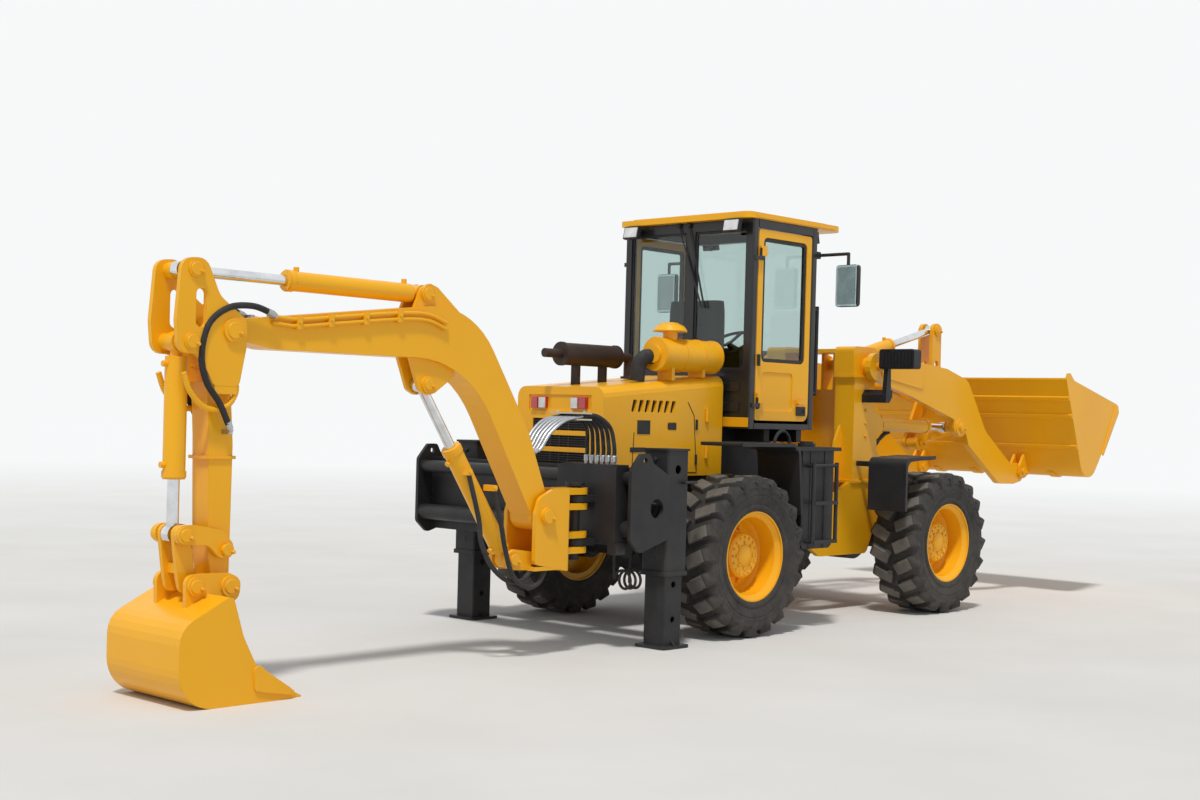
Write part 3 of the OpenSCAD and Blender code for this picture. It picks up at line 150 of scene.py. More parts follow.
class Shape:
    """A mesh in the making. Lengths are metres."""

    def __init__(self):
        self.mesh = bmesh.new()

    def skin(self, rings, caps=True):
        """A skin over closed rings of points, which all have the same count."""
        rows = [[self.mesh.verts.new(point) for point in ring] for ring in rings]
        count = len(rows[0])
        for low, high in zip(rows, rows[1:]):
            for i in range(count):
                j = (i + 1) % count
                self.mesh.faces.new((low[i], low[j], high[j], high[i]))
        if caps:
            self.mesh.faces.new(rows[0])
            self.mesh.faces.new(rows[-1][::-1])

    def box(self, low, high, turn=None, about=None):
        """A box between two corners, turned about a point where a turn is given."""
        corners = [Vector((x, y, z)) for z in (low.z, high.z) for x, y in
                   ((low.x, low.y), (high.x, low.y), (high.x, high.y), (low.x, high.y))]
        if turn is not None:
            corners = [about + turn @ (corner - about) for corner in corners]
        self.skin([corners[:4], corners[4:]])

    def disc(self, at, axis, profile, sides=24):
        """A turned form. Its profile is a list of [radius, distance along the axis]."""
        along = axis.normalized()
        across = along.orthogonal().normalized()
        third = along.cross(across)
        turns = round_angles(sides)
        self.skin([[at + along * shift + radius * (math.cos(a) * across + math.sin(a) * third) for a in turns]
                   for radius, shift in profile])

    def rod(self, start, end, radius, sides=16):
        self.disc(start, end - start, [[radius, 0], [radius, (end - start).length]], sides)

    def bolt(self, at, axis, radius, height):
        """A bolt's head on its washer."""
        wide = WASHER_RADIUS * radius
        thick = WASHER_HEIGHT * height
        self.disc(at, axis, [[wide, 0], [wide, thick]], 16)
        self.disc(at, axis, [[radius, thick], [radius, BEVEL * height], [BEVEL * radius, height]], 6)

    def tube(self, points, radius, sides=10, steps=8):
        """A hose along a smooth line. Its radius is a number, or a function of the length run."""
        line = smooth_line(points, steps)
        side = (line[1] - line[0]).orthogonal().normalized()
        turns = round_angles(sides)
        rings = []
        run = 0.0
        for i, point in enumerate(line):
            ahead = (line[min(i + 1, len(line) - 1)] - line[max(i - 1, 0)]).normalized()
            side = (side - side.dot(ahead) * ahead).normalized()
            third = ahead.cross(side)
            if i:
                run += (point - line[i - 1]).length
            r = radius(run) if callable(radius) else radius
            rings.append([point + r * (math.cos(a) * side + math.sin(a) * third) for a in turns])
        self.skin(rings)


def finish(shape, name, material, body=None, smooth=SMOOTH):
    """Turns a shape into a piece in its material, on its body where one is given."""
    bmesh.ops.recalc_face_normals(shape.mesh, faces=shape.mesh.faces)
    mesh = bpy.data.meshes.new(name)
    shape.mesh.to_mesh(mesh)
    shape.mesh.free()
    mesh.shade_smooth()
    mesh.set_sharp_from_angle(angle=math.radians(smooth))
    mesh.materials.append(material)
    piece = bpy.data.objects.new(name, mesh)
    bpy.context.scene.collection.objects.link(piece)
    if body:
        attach(piece, body)
    return piece


# Node graphs

# The Mix node's sockets for colours, which share their names with its sockets for numbers
MIX_FIRST = 6
MIX_SECOND = 7
MIX_RESULT = 2
# Where a noise starts and ends to blend two looks
NOISE_LOW = 0.3
NOISE_HIGH = 0.7
BEVEL_SAMPLES = 4


def feed(tree, socket, value):
    """Links a socket to another one, or sets it to a number or an opaque colour."""
    if isinstance(value, bpy.types.NodeSocket):
        tree.links.new(value, socket)
    elif isinstance(value, tuple):
        socket.default_value = (*value, 1)
    else:
        socket.default_value = value


def set_up(tree, made, **settings):
    """Gives a node its settings: sockets, with _ for a space, or else properties."""
    for key, value in settings.items():
        name = key.replace("_", " ")
        if name in made.inputs:
            feed(tree, made.inputs[name], value)
        else:
            setattr(made, key, value)


def node(tree, kind, **settings):
    made = tree.nodes.new(kind)
    set_up(tree, made, **settings)
    return made


def maths(tree, operation, *values):
    made = node(tree, "ShaderNodeMath", operation=operation)
    for socket, value in zip(made.inputs, values):
        feed(tree, socket, value)
    return made.outputs[0]


def blended(tree, factor, first, last):
    """A colour from the first to the last one."""
    made = node(tree, "ShaderNodeMix", data_type="RGBA", Factor=factor)
    feed(tree, made.inputs[MIX_FIRST], first)
    feed(tree, made.inputs[MIX_SECOND], last)
    return made.outputs[MIX_RESULT]


def ramp(tree, value, low, high, first, last):
    """Two colours, or two numbers, blended as value goes from low to high."""
    if isinstance(first, tuple):
        return blended(tree, ramp(tree, value, low, high, 0.0, 1.0), first, last)
    made = node(tree, "ShaderNodeMapRange", Value=value, From_Min=low, From_Max=high,
                To_Min=first, To_Max=last)
    return made.outputs["Result"]


def own_place(tree):
    """The object's own coordinates."""
    return node(tree, "ShaderNodeTexCoord").outputs["Object"]


def noise(tree, scale, detail=4.0, roughness=0.55):
    made = node(tree, "ShaderNodeTexNoise", Vector=own_place(tree), Scale=scale, Detail=detail,
                Roughness=roughness)
    return made.outputs["Fac"]


def mottled(tree, scale, detail, first, last):
    """Two colours, or two numbers, blended by a noise."""
    return ramp(tree, noise(tree, scale, detail), NOISE_LOW, NOISE_HIGH, first, last)


def bump(tree, shader, height, strength, distance, edge=0.0):
    """Fine relief, on edges that are rounded by edge metres."""
    relief = node(tree, "ShaderNodeBump", Height=height, Strength=strength, Distance=distance)
    if edge:
        bevel = node(tree, "ShaderNodeBevel", samples=BEVEL_SAMPLES, Radius=edge)
        set_up(tree, relief, Normal=bevel.outputs["Normal"])
    set_up(tree, shader, Normal=relief.outputs["Normal"])


def dusted(tree, colour, dust, top, amount):
    """Mixes patches of dust into a colour, most at the floor and least from the top height on."""
    split = node(tree, "ShaderNodeSeparateXYZ", Vector=own_place(tree))
    height = ramp(tree, split.outputs["Z"], 0.0, top, 1.0, 0.15)
    patches = ramp(tree, noise(tree, 3.0, 8.0, 0.65), 0.35, 0.75, 0.0, amount)
    return blended(tree, maths(tree, "MULTIPLY", height, patches), colour, dust)


# Materials

PAINT_DUST = (0.42, 0.37, 0.30)
PAINT_DUST_TOP = 1.6
RUBBER_DUST = (0.24, 0.20, 0.165)
RUBBER_DUST_TOP = 1.4
GLASS_IOR = 1.45


def new_material(name):
    material = bpy.data.materials.new(name)
    material.use_nodes = True
    tree = material.node_tree
    return material, tree, tree.nodes["Principled BSDF"]


def painted(name, first, last, roughness, coat, dust, edge=0.004):
    """Paint between two colours, with patchy gloss, an amount of dust, and edges rounded by edge metres."""
    material, tree, shader = new_material(name)
    colour = mottled(tree, 1.3, 3.0, first, last)
    set_up(tree, shader,
           Base_Color=dusted(tree, colour, PAINT_DUST, PAINT_DUST_TOP, dust),
           Roughness=mottled(tree, 9.0, 6.0, roughness - 0.06, roughness + 0.08),
           Specular_IOR_Level=0.3,
           Coat_Weight=coat,
           Coat_Roughness=0.12)
    bump(tree, shader, noise(tree, 260.0, 2.0), 0.06, 0.001, edge)
    return material


def glassy(name, colour):
    material, tree, shader = new_material(name)
    set_up(tree, shader,
           Base_Color=colour,
           Transmission_Weight=1.0,
           IOR=GLASS_IOR,
           Roughness=mottled(tree, 4.0, 4.0, 0.0, 0.03))
    return material


def rubber(name, first, last, dust):
    material, tree, shader = new_material(name)
    colour = ramp(tree, noise(tree, 7.0, 8.0, 0.6), 0.35, NOISE_HIGH, first, last)
    set_up(tree, shader,
           Base_Color=dusted(tree, colour, RUBBER_DUST, RUBBER_DUST_TOP, dust),
           Roughness=mottled(tree, 25.0, 4.0, 0.62, 0.85))
    bump(tree, shader, noise(tree, 90.0, 6.0), 0.25, 0.003, 0.006)
    return material


def metal(name, colour, roughness):
    material, tree, shader = new_material(name)
    dark = tuple(0.75 * part for part in colour)
    set_up(tree, shader,
           Base_Color=mottled(tree, 12.0, 5.0, dark, colour),
           Metallic=1.0,
           Roughness=mottled(tree, 60.0, 4.0, roughness * 0.7, roughness * 1.4))
    bump(tree, shader, noise(tree, 300.0, 2.0), 0.03, 0.0005)
    return material


def lens(name, colour):
    """A ribbed plastic lens."""
    material, tree, shader = new_material(name)
    dark = tuple(0.7 * part for part in colour)
    set_up(tree, shader,
           Base_Color=mottled(tree, 14.0, 4.0, dark, colour),
           Roughness=0.18,
           Coat_Weight=0.6)
    ribs = node(tree, "ShaderNodeTexWave", Vector=own_place(tree), Scale=90.0, bands_direction="Y")
    bump(tree, shader, ribs.outputs["Fac"], 0.35, 0.002)
    return material


def fabric(name, first, last):
    """Woven cloth with a slight sheen."""
    material, tree, shader = new_material(name)
    set_up(tree, shader,
           Base_Color=mottled(tree, 30.0, 6.0, first, last),
           Roughness=0.85,
           Sheen_Weight=0.2)
    weave = node(tree, "ShaderNodeTexChecker", Vector=own_place(tree), Scale=420.0)
    bump(tree, shader, weave.outputs["Fac"], 0.2, 0.001)
    return material


YELLOW = painted("yellow_paint", (0.90, 0.425, 0.006), (0.95, 0.47, 0.008), 0.34, 0.12, 0.03)
BLACK = painted("black_paint", (0.012, 0.0125, 0.015), (0.020, 0.0205, 0.024), 0.45, 0.0, 0.08)
POST_BLACK = painted("post_black", (0.012, 0.012, 0.013), (0.02, 0.02, 0.022), 0.35, 0.3, 0.05)
BROWN = painted("heat_brown", (0.024, 0.014, 0.011), (0.055, 0.033, 0.026), 0.55, 0.0, 0.1)
ENGINE = painted("engine_castings", (0.05, 0.05, 0.055), (0.09, 0.09, 0.095), 0.55, 0.0, 0.4)
PLASTIC = painted("black_plastic", (0.016, 0.016, 0.018), (0.026, 0.026, 0.028), 0.5, 0.0, 0.2, 0.002)
CREAM = painted("cream_paint", (0.56, 0.53, 0.42), (0.64, 0.61, 0.50), 0.45, 0.1, 0.15)
CHROME = metal("rod_chrome", (0.82, 0.83, 0.85), 0.10)
STEEL = metal("bare_steel", (0.50, 0.51, 0.53), 0.34)
MIRROR = metal("mirror_glass", (0.42, 0.43, 0.45), 0.03)
TYRE = rubber("tyre_rubber", (0.012, 0.0115, 0.011), (0.024, 0.022, 0.020), 0.30)
TREAD = rubber("tread_dust", (0.085, 0.078, 0.068), (0.15, 0.138, 0.12), 0.40)
HOSE = rubber("hose_rubber", (0.012, 0.012, 0.013), (0.022, 0.022, 0.023), 0.15)
GLASS = glassy("clear_glass", (0.66, 0.76, 0.74))
RED = lens("red_lens", (0.62, 0.03, 0.03))
AMBER = lens("amber_lens", (0.85, 0.30, 0.02))
CLEAR = lens("clear_lens", (0.85, 0.86, 0.86))
SEAT = fabric("seat_fabric", (0.010, 0.010, 0.012), (0.024, 0.024, 0.028))

# The grille's openings in the hood, in millimetres from the rear axle: the middle of the bars,
# half of the bars' depth, half of the openings' width, their lower edges, their height,
# and how far the dark paint stays inside their edges
GRILLE_X = -875
BAR_HALF = 7.5
GRILLE_Y = 250
GRILLE_Z = (1120, 1230, 1340)
GRILLE_H = 78
PAINT_GAP = 0.5
GRILLE_DARK = (0.02, 0.018, 0.016)


def hood_paint():
    """The yellow paint, with the bars in the grille's openings dark."""
    material = YELLOW.copy()
    material.name = "hood_paint"
    tree = material.node_tree
    shader = tree.nodes["Principled BSDF"]
    paint = shader.inputs["Base Color"].links[0].from_socket
    split = node(tree, "ShaderNodeSeparateXYZ", Vector=own_place(tree))

    def within(axis, middle, reach):
        return maths(tree, "COMPARE", split.outputs[axis], middle, reach / 1000)

    mask = 0.0
    for low in GRILLE_Z:
        opening = within("Z", mm(0, 0, low + GRILLE_H / 2).z, GRILLE_H / 2 - PAINT_GAP)
        mask = maths(tree, "MAXIMUM", mask, opening)
    mask = maths(tree, "MULTIPLY", mask, within("X", mm(GRILLE_X, 0, 0).x, BAR_HALF))
    mask = maths(tree, "MULTIPLY", mask, within("Y", 0.0, GRILLE_Y - PAINT_GAP))
    set_up(tree, shader, Base_Color=blended(tree, mask, paint, GRILLE_DARK))
    return material


# The record's slots: the material of a slot's nodes, and further ones that pieces use
SLOTS = {
    "yellow_paint": (YELLOW, CREAM),
    "black_paint": (BLACK, POST_BLACK),
    "engine_metal": (ENGINE,),
    "rust_brown": (BROWN,),
    "lamp_plastic": (RED, AMBER, CLEAR),
    "black_plastic": (PLASTIC,),
    "seat_fabric": (SEAT,),
    "clear_glass": (GLASS,),
    "rod_chrome": (CHROME, STEEL, MIRROR),
    "tyre_rubber": (TYRE, TREAD, HOSE),
}
NODE_MATERIAL = {"cab_frame": POST_BLACK, "hood": hood_paint()}


def dress_nodes():
    """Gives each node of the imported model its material."""
    for part in frame["record"]["subparts"]:
        name = part["node"]
        materials = frame["nodes"][name].data.materials
        materials.clear()
        materials.append(NODE_MATERIAL.get(name, SLOTS[part["material_slot"]][0]))


# Wheels, in millimetres unless a comment says metres

# Across the tread and over the shoulder: where a lug's top and its foot lie,
# [across, out, foot across, foot out]
LUG_STATIONS = [
    (-93, 516, -93, 494), (-86, 531, -86, 494), (-40, 535, -40, 494), (30, 535, 30, 494), (66, 532, 60, 490),
    (82, 524, 68, 484), (91, 508, 72, 472), (93, 480, 74, 462), (92, 452, 74, 445), (86, 432, 72, 430),
]
LUG_COUNT = 20
LUG_W = 84
# How far the lug's foot and its upper side stand out from its width, and how far its top is drawn in
LUG_FOOT = 12
LUG_FLARE = 2
LUG_ROUND = 4
# The upper side's place between foot and top
FOOT_SHARE = 0.18
TOP_SHARE = 0.82
LUG_TURN = math.radians(24)
LUG_MIDDLE = 102.4
# Faces that lie farther out than this, in metres, are the lugs' dusty tops
LUG_TOP = 0.528
TYRE_SIDES = 120
# Half of the tyre's section, from the bead to the tread's middle, [across, out]
TYRE_SECTION = [
    (176, 302), (184, 316), (186, 334), (180, 345), (184, 360), (190, 386), (193, 400), (190, 404),
    (193, 409), (193, 425), (189, 450), (192, 458), (187, 472), (176, 489), (158, 499), (90, 503), (0, 505),
]

# The hub, in metres: its face and its cover's seat out from the wheel's middle, and the cover's profile
HUB_FACE = 0.084
HUB_SEAT = 0.080
HUB_COVER = [[0.072, 0], [0.072, 0.010], [0.062, 0.016], [0.030, 0.022], [0.006, 0.023]]
# Rings of bolts and nuts: count, the ring's radius, the head's radius, distance out from the wheel's middle
HUB_BOLTS = ((16, 0.120, 0.008, HUB_FACE), (8, 0.086, 0.010, HUB_FACE), (10, 0.185, 0.015, -0.02))
HUB_BOLT_HEIGHT = 1.2


def lug_corners(across, out, foot_across, foot_out):
    """One section of a lug, as places over the lug's width, across the tread and out from the axle."""
    near = (FOOT_SHARE * foot_across + TOP_SHARE * across, FOOT_SHARE * foot_out + TOP_SHARE * out)
    half = LUG_W / 2
    left = [
        (-half - LUG_FOOT, foot_across, foot_out),
        (-half - LUG_FLARE, *near),
        (LUG_ROUND - half, across, out),
    ]
    return left + [(-over, *place) for over, *place in left[::-1]]


def lug_point(corner, row, angle):
    """A lug's corner, slanted and turned around the axle, from the wheel's middle."""
    over, across, out = corner
    run = across * math.sin(LUG_TURN) - over * math.cos(LUG_TURN)
    away = LUG_MIDDLE + over * math.sin(LUG_TURN) + across * math.cos(LUG_TURN)
    return Vector((run * math.cos(angle) - out * math.sin(angle), away * (2 * row - 1),
                   run * math.sin(angle) + out * math.cos(angle))) / 1000


def make_tyre(name, middle):
    """A tyre with rings on its side walls and two rows of slanted lugs."""
    shape = Shape()
    section = TYRE_SECTION + [(-across, out) for across, out in TYRE_SECTION[-2::-1]]
    section.append(section[0])
    turns = round_angles(TYRE_SIDES)
    shape.skin([[middle + Vector((out * math.cos(a), across, out * math.sin(a))) / 1000 for a in turns]
                for across, out in section], caps=False)
    for row in (0, 1):
        for i in range(LUG_COUNT):
            angle = (i + row / 2) * 2 * math.pi / LUG_COUNT
            shape.skin([[middle + lug_point(corner, row, angle) for corner in lug_corners(*station)]
                        for station in LUG_STATIONS])
    for face in shape.mesh.faces:
        reach = [math.dist((vert.co.x, vert.co.z), (middle.x, middle.z)) for vert in face.verts]
        if min(reach) > LUG_TOP:
            face.material_index = 1
    tyre = finish(shape, f"{name}_tread", TYRE, f"{name}_wheel")
    tyre.data.materials.append(TREAD)
    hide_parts(f"{name}_tyre")


def make_hub(name, middle, outward):
    """The cover over the spindle's hole, the hub's two rings of bolts and the wheel's nuts."""
    cover = Shape()
    cover.disc(middle + HUB_SEAT * outward, outward, HUB_COVER, 32)
    finish(cover, f"{name}_hub_cover", YELLOW, f"{name}_wheel")
    bolts = Shape()
    for count, radius, size, out in HUB_BOLTS:
        at = middle + out * outward
        for a in round_angles(count):
            spot = at + radius * Vector((math.cos(a), 0, math.sin(a)))
            bolts.bolt(spot, outward, size, HUB_BOLT_HEIGHT * size)
    finish(bolts, f"{name}_wheel_nuts", YELLOW, f"{name}_wheel")


def make_wheels():
    for end, place in (("rear", mm), ("front", front)):
        for side, sign in SIDES:
            name = f"{end}_{side}"
            middle = place(0, sign * WHEEL_Y, WHEEL_Z)
            make_tyre(name, middle)
            make_hub(name, middle, sign * Y)


# Pins: head discs with a keeper plate and its bolt, at both ends

# Name, body, place from the rear axle, lowest and highest y of what the pin goes through, radius of the head
HOE_PINS = [
    ("boom_foot_pin", "swing_bracket_body", (-1770, 843), -818, -502, 44),
    ("boom_cylinder_low_pin", "swing_bracket_body", (-1975, 590), -750, -570, 36),
    ("boom_cylinder_top_pin", "boom_body", (-2655, 1592), -738, -582, 34),
    ("stick_cylinder_front_pin", "boom_body", (-2680, 2090), -744, -576, 34),
    ("boom_tip_pin", "stick_body", (-3970, 1815), -805, -515, 42),
    ("stick_cylinder_rear_pin", "stick_body", (-4190, 2100), -800, -520, 34),
    ("bucket_cylinder_top_pin", "stick_body", (-4205, 1750), -800, -520, 34),
    ("bucket_cylinder_low_pin", "guide_link_body", (-4205, 812), -785, -535, 32),
    ("guide_link_pin", "stick_body", (-3970, 735), -790, -530, 32),
    ("hoe_bucket_pin", "hoe_bucket_body", (-3967, 557), -820, -500, 36),
    ("h_link_pin", "hoe_bucket_body", (-4162, 566), -820, -500, 34),
]
# The same from the front axle
LOADER_PINS = [
    ("arm_pin", "front_frame", (-340, 1880), -547, 547, 40),
    ("lift_top_pin", "loader_arms_body", (890, 1425), -545, 545, 34),
    ("bucket_pin", "loader_bucket_body", (1890, 1060), -569, 569, 34),
    ("bucket_link_pin", "loader_bucket_body", (1760, 1420), -66, 66, 30),
    ("rocker_top_pin", "rocker_body", (1220, 2250), -88, 88, 30),
    ("rocker_pin", "loader_arms_body", (1220, 1690), -140, 140, 34),
    ("rocker_low_pin", "rocker_body", (1000, 1285), -90, 90, 30),
]
# Of a head, in metres: the height of its rim, its whole height and the bevel between them
HEAD_RIM = 0.004
HEAD_HEIGHT = 0.007
HEAD_BEVEL = 0.003
# The keeper's place on the head and its radius, as shares of the head's radius, and its lower and upper side
KEEPER_AT = Vector((0.75, 0, -0.35))
KEEPER_RADIUS = 0.34
KEEPER_LOW = 0.003
KEEPER_TOP = 0.008
# A small bolt's radius and height
SMALL_BOLT = (0.009, 0.010)


def pin_head(shape, at, axis, radius):
    shape.disc(at, axis, [[radius, 0], [radius, HEAD_RIM], [radius - HEAD_BEVEL, HEAD_HEIGHT]], 32)
    spot = at + HEAD_RIM * axis + radius * KEEPER_AT
    keeper = KEEPER_RADIUS * radius
    shape.disc(spot, axis, [[keeper, KEEPER_LOW], [keeper, KEEPER_TOP]], 16)
    shape.bolt(spot + KEEPER_TOP * axis, axis, *SMALL_BOLT)


def make_pins():
    for place, pins in ((mm, HOE_PINS), (front, LOADER_PINS)):
        for name, body, (x, z), low, high, radius in pins:
            shape = Shape()
            pin_head(shape, place(x, low, z), -Y, radius / 1000)
            pin_head(shape, place(x, high, z), Y, radius / 1000)
            finish(shape, name, YELLOW, body)


# Hoses and pipes. Their places are millimetres from the rear axle, [x, z] where y is the same all along.

# The arch of hoses from the boom over a clamp plate down to the tray behind the carriage
ARCH_COUNT = 6
ARCH_CLAMP = (-1450, 1436)
# Its places, [x, z, spacing of the hoses, their middle's y from the hoe's middle]
ARCH_UP = ((-1838, 1210, 29, 0), (-1700, 1335, 32, 0), (-1590, 1408, 36, 0))
ARCH_DOWN = ((-1330, 1440, 39, -6), (-1222, 1372, 41, -14), (-1200, 1146, 46, -20))
# The clamp, in metres: spacing of the hoses, half of its two plates' sides, their heights, their bolts' y
CLAMP_GAP = 0.038
CLAMP_HALF = (0.055, 0.125)
CLAMP_PLATES = ((0.014, 0.024), (-0.024, -0.014))
CLAMP_BOLTS = (-0.112, 0.0, 0.112)
BOOM_PORT_AXIS = Vector((0.915, 0, 0.405))
# The boom cylinder's two hoses: distance to the right of the hoe's middle and places
BOOM_CYLINDER_HOSES = (
    (80, ((-2345, 1090), (-2262, 840), (-2235, 700), (-2150, 560), (-2020, 470), (-1900, 470),
          (-1800, 560))),
    (112, ((-2180, 1000), (-2120, 820), (-2075, 650), (-2010, 500), (-1900, 430), (-1800, 450),
           (-1740, 540))),
)
# Around the boom's tip, and from the stick to its bucket cylinder
STICK_HOSE = (
    (-3740, 1912), (-3860, 1942), (-4000, 1925), (-4110, 1840), (-4148, 1690), (-4118, 1560), (-4040, 1455),
    (-3985, 1350),
)
BUCKET_CYLINDER_HOSE = (
    (-4060, 1640), (-3965, 1600), (-3935, 1520), (-3990, 1440), (-4100, 1430), (-4190, 1500), (-4235, 1600),
)
STICK_HOSE_Y = 130
BUCKET_CYLINDER_HOSE_Y = 112
# The fittings at the stick hose's ends: body, place and direction
STICK_FITTINGS = (
    ("boom_body", (-3722, 1902), Vector((-1, 0, 0.4)).normalized()),
    ("stick_body", (-3972, 1316), Vector((-0.35, 0, 1)).normalized()),
)
FITTING_HALF = 12
# The boom's pipes, how far the lower one lies under the upper one, and the clamps that hold both
BOOM_PIPE = ((-2560, 1935), (-2700, 1975), (-2900, 1970), (-3300, 1925), (-3560, 1895), (-3722, 1902))
PIPE_DROP = 34
PIPE_Y = 104
PIPE_CLAMPS = ((-2900, 1970), (-3130, 1944), (-3360, 1919), (-3560, 1895))
PIPE_CLAMP_OUT = 117
# The outer one of the two hoses to a lift cylinder: [x, z, how far the inner one lies under it]
LIFT_HOSE = ((2150, 1330, 40), (2220, 1300, 50), (2330, 1310, 50), (2420, 1355, 20), (2480, 1372, 0))
LIFT_HOSE_Y = 360
TANK_HOSE = ((620, 1262), (622, 1300), (660, 1352), (720, 1368), (780, 1330), (800, 1262))
TANK_HOSE_Y = 640
INTAKE = ((-300, -300, 1850), (-360, -275, 1845), (-392, -250, 1790), (-396, -240, 1685))
# The coil beside the right outrigger's post: its turns, steps per turn and radius, where its middle
# starts, its length along X, and its two ends
COIL_TURNS = 3
COIL_STEPS = 12
COIL_RADIUS = 58
COIL_AT = (-1100, -790, 430)
COIL_LENGTH = 140
COIL_ENDS = ((-1110, -735, 640), (-950, -735, 640))


def sleeved(radius, pitch=0.011, depth=0.14):
    """The radius of a hose in a spiral sleeve."""
    return lambda run: radius * (1 + depth * abs(math.sin(math.pi * run / pitch)))


def ferrule(shape, at, axis, radius):
    """A hose's end: a hexagon and its sleeve."""
    shape.disc(at, axis, [[1.1 * radius, 0], [1.1 * radius, 0.016]], 6)
    shape.disc(at, axis, [[1.25 * radius, 0.016], [1.25 * radius, 0.05], [radius, 0.055]], 16)


def hose(name, points, radius, steps, material=HOSE, body=None, sides=10):
    """A hose as a piece of its own."""
    shape = Shape()
    shape.tube(points, radius, sides, steps)
    return finish(shape, name, material, body, HOSE_SMOOTH)


def make_arch_hoses():
    """Steel-sleeved hoses up from the boom, and rubber ones down to the tray."""
    clamp = mm(ARCH_CLAMP[0], HOE_Y, ARCH_CLAMP[1])
    fittings = Shape()
    for i in range(ARCH_COUNT):
        shift = i - (ARCH_COUNT - 1) / 2
        held = clamp + CLAMP_GAP * shift * Y
        start, *rise = [mm(x, HOE_Y + aside + gap * shift, z) for x, z, gap, aside in ARCH_UP]
        *fall, foot = [mm(x, HOE_Y + aside + gap * shift, z) for x, z, gap, aside in ARCH_DOWN]
        up = [start, start + 0.07 * BOOM_PORT_AXIS, *rise, held]
        down = [held, *fall, foot + 0.11 * Z, foot + 0.03 * Z]
        piece = hose(f"boom_hose_{i + 1}", up, sleeved(0.0105), 36, STEEL)
        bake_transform(piece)
        ferrule(fittings, start - 0.006 * BOOM_PORT_AXIS, BOOM_PORT_AXIS, 0.0115)
        piece = hose(f"tray_hose_{i + 1}", down, sleeved(0.0125, 0.016, 0.08), 24)
        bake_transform(piece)
        tray = Shape()
        ferrule(tray, foot - 0.001 * Z, Z, 0.016)
        finish(tray, f"tray_fitting_{i + 1}", STEEL, "carriage_body")
    finish(fittings, "boom_foot_fittings", STEEL, "boom_body")
    plate = Shape()
    half_x, half_y = CLAMP_HALF
    for low, high in CLAMP_PLATES:
        plate.box(clamp + Vector((-half_x, -half_y, low)), clamp + Vector((half_x, half_y, high)))
    for y in CLAMP_BOLTS:
        plate.bolt(clamp + Vector((0, y, CLAMP_PLATES[0][1])), Z, *SMALL_BOLT)
    finish(plate, "hose_clamp_plate", CREAM, "swing_bracket_body")


def make_cylinder_hoses():
    """From the swing bracket to the boom cylinder's two ports."""
    for number, (away, places) in enumerate(BOOM_CYLINDER_HOSES, 1):
        y = HOE_Y - away
        x, z = places[0]
        port = Shape()
        port.box(mm(x - 15, y - 14, z - 4), mm(x + 15, HOE_Y - 40, z + 30))
        port.bolt(mm(x, y - 14, z + 13), -Y, 0.012, 0.010)
        finish(port, f"boom_cylinder_port_{number}", YELLOW, "boom_barrel_body")
        points = [mm(x, y, z) for x, z in places]
        piece = hose(f"boom_cylinder_hose_{number}", points, sleeved(0.014, 0.016, 0.08), 16)
        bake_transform(piece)


def make_stick_hoses():
    """Sleeved hoses around the boom's tip, and painted ones from the stick to its bucket cylinder."""
    fittings = {body: Shape() for body, _, _ in STICK_FITTINGS}
    for side, sign in SIDES:
        y = HOE_Y + sign * STICK_HOSE_Y
        piece = hose(f"{side}_stick_hose", [mm(x, y, z) for x, z in STICK_HOSE], sleeved(0.015), 30)
        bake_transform(piece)
        low, high = span(sign, 68, STICK_HOSE_Y, HOE_Y)
        for body, (x, z), axis in STICK_FITTINGS:
            ferrule(fittings[body], mm(x, y, z), axis, 0.014)
            fittings[body].box(mm(x - FITTING_HALF, low, z - FITTING_HALF),
                               mm(x + FITTING_HALF, high, z + 10))
        y = HOE_Y + sign * BUCKET_CYLINDER_HOSE_Y
        points = [mm(x, y, z) for x, z in BUCKET_CYLINDER_HOSE]
        piece = hose(f"{side}_bucket_cylinder_hose", points, sleeved(0.013, 0.014, 0.2), 30, YELLOW)
        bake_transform(piece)
    for body, shape in fittings.items():
        finish(shape, f"{body}_hose_fittings", STEEL, body)


def make_pipes():
    """Steel pipes along both sides of the boom, in clamps."""
    pipes = Shape()
    clamps = Shape()
    for sign in (-1, 1):
        for drop in (0, PIPE_DROP):
            pipes.tube([mm(x, HOE_Y + sign * PIPE_Y, z - drop) for x, z in BOOM_PIPE], 0.010)
        low, high = span(sign, 90, PIPE_CLAMP_OUT, HOE_Y)
        for x, z in PIPE_CLAMPS:
            clamps.box(mm(x - 17, low, z - 52), mm(x + 17, high, z + 16))
            clamps.bolt(mm(x, HOE_Y + sign * PIPE_CLAMP_OUT, z - 17), sign * Y, 0.007, 0.008)
    finish(pipes, "boom_pipes", YELLOW, "boom_body")
    finish(clamps, "boom_pipe_clamps", YELLOW, "boom_body")


def make_loader_hoses():
    """Two hoses from the loader's tower to each lift cylinder."""
    for side, sign in SIDES:
        for row in (0, 1):
            y = sign * (LIFT_HOSE_Y - 34 * row)
            points = [mm(x, y, z - drop * row) for x, z, drop in LIFT_HOSE]
            piece = hose(f"{side}_lift_hose_{row + 1}", points, 0.013, 10)
            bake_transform(piece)


def make_tank_hoses():
    """A looped hose on each side tank."""
    for side, sign in SIDES:
        points = [mm(x, sign * TANK_HOSE_Y, z) for x, z in TANK_HOSE]
        hose(f"{side}_tank_hose", points, 0.013, 8, body="rear_frame")


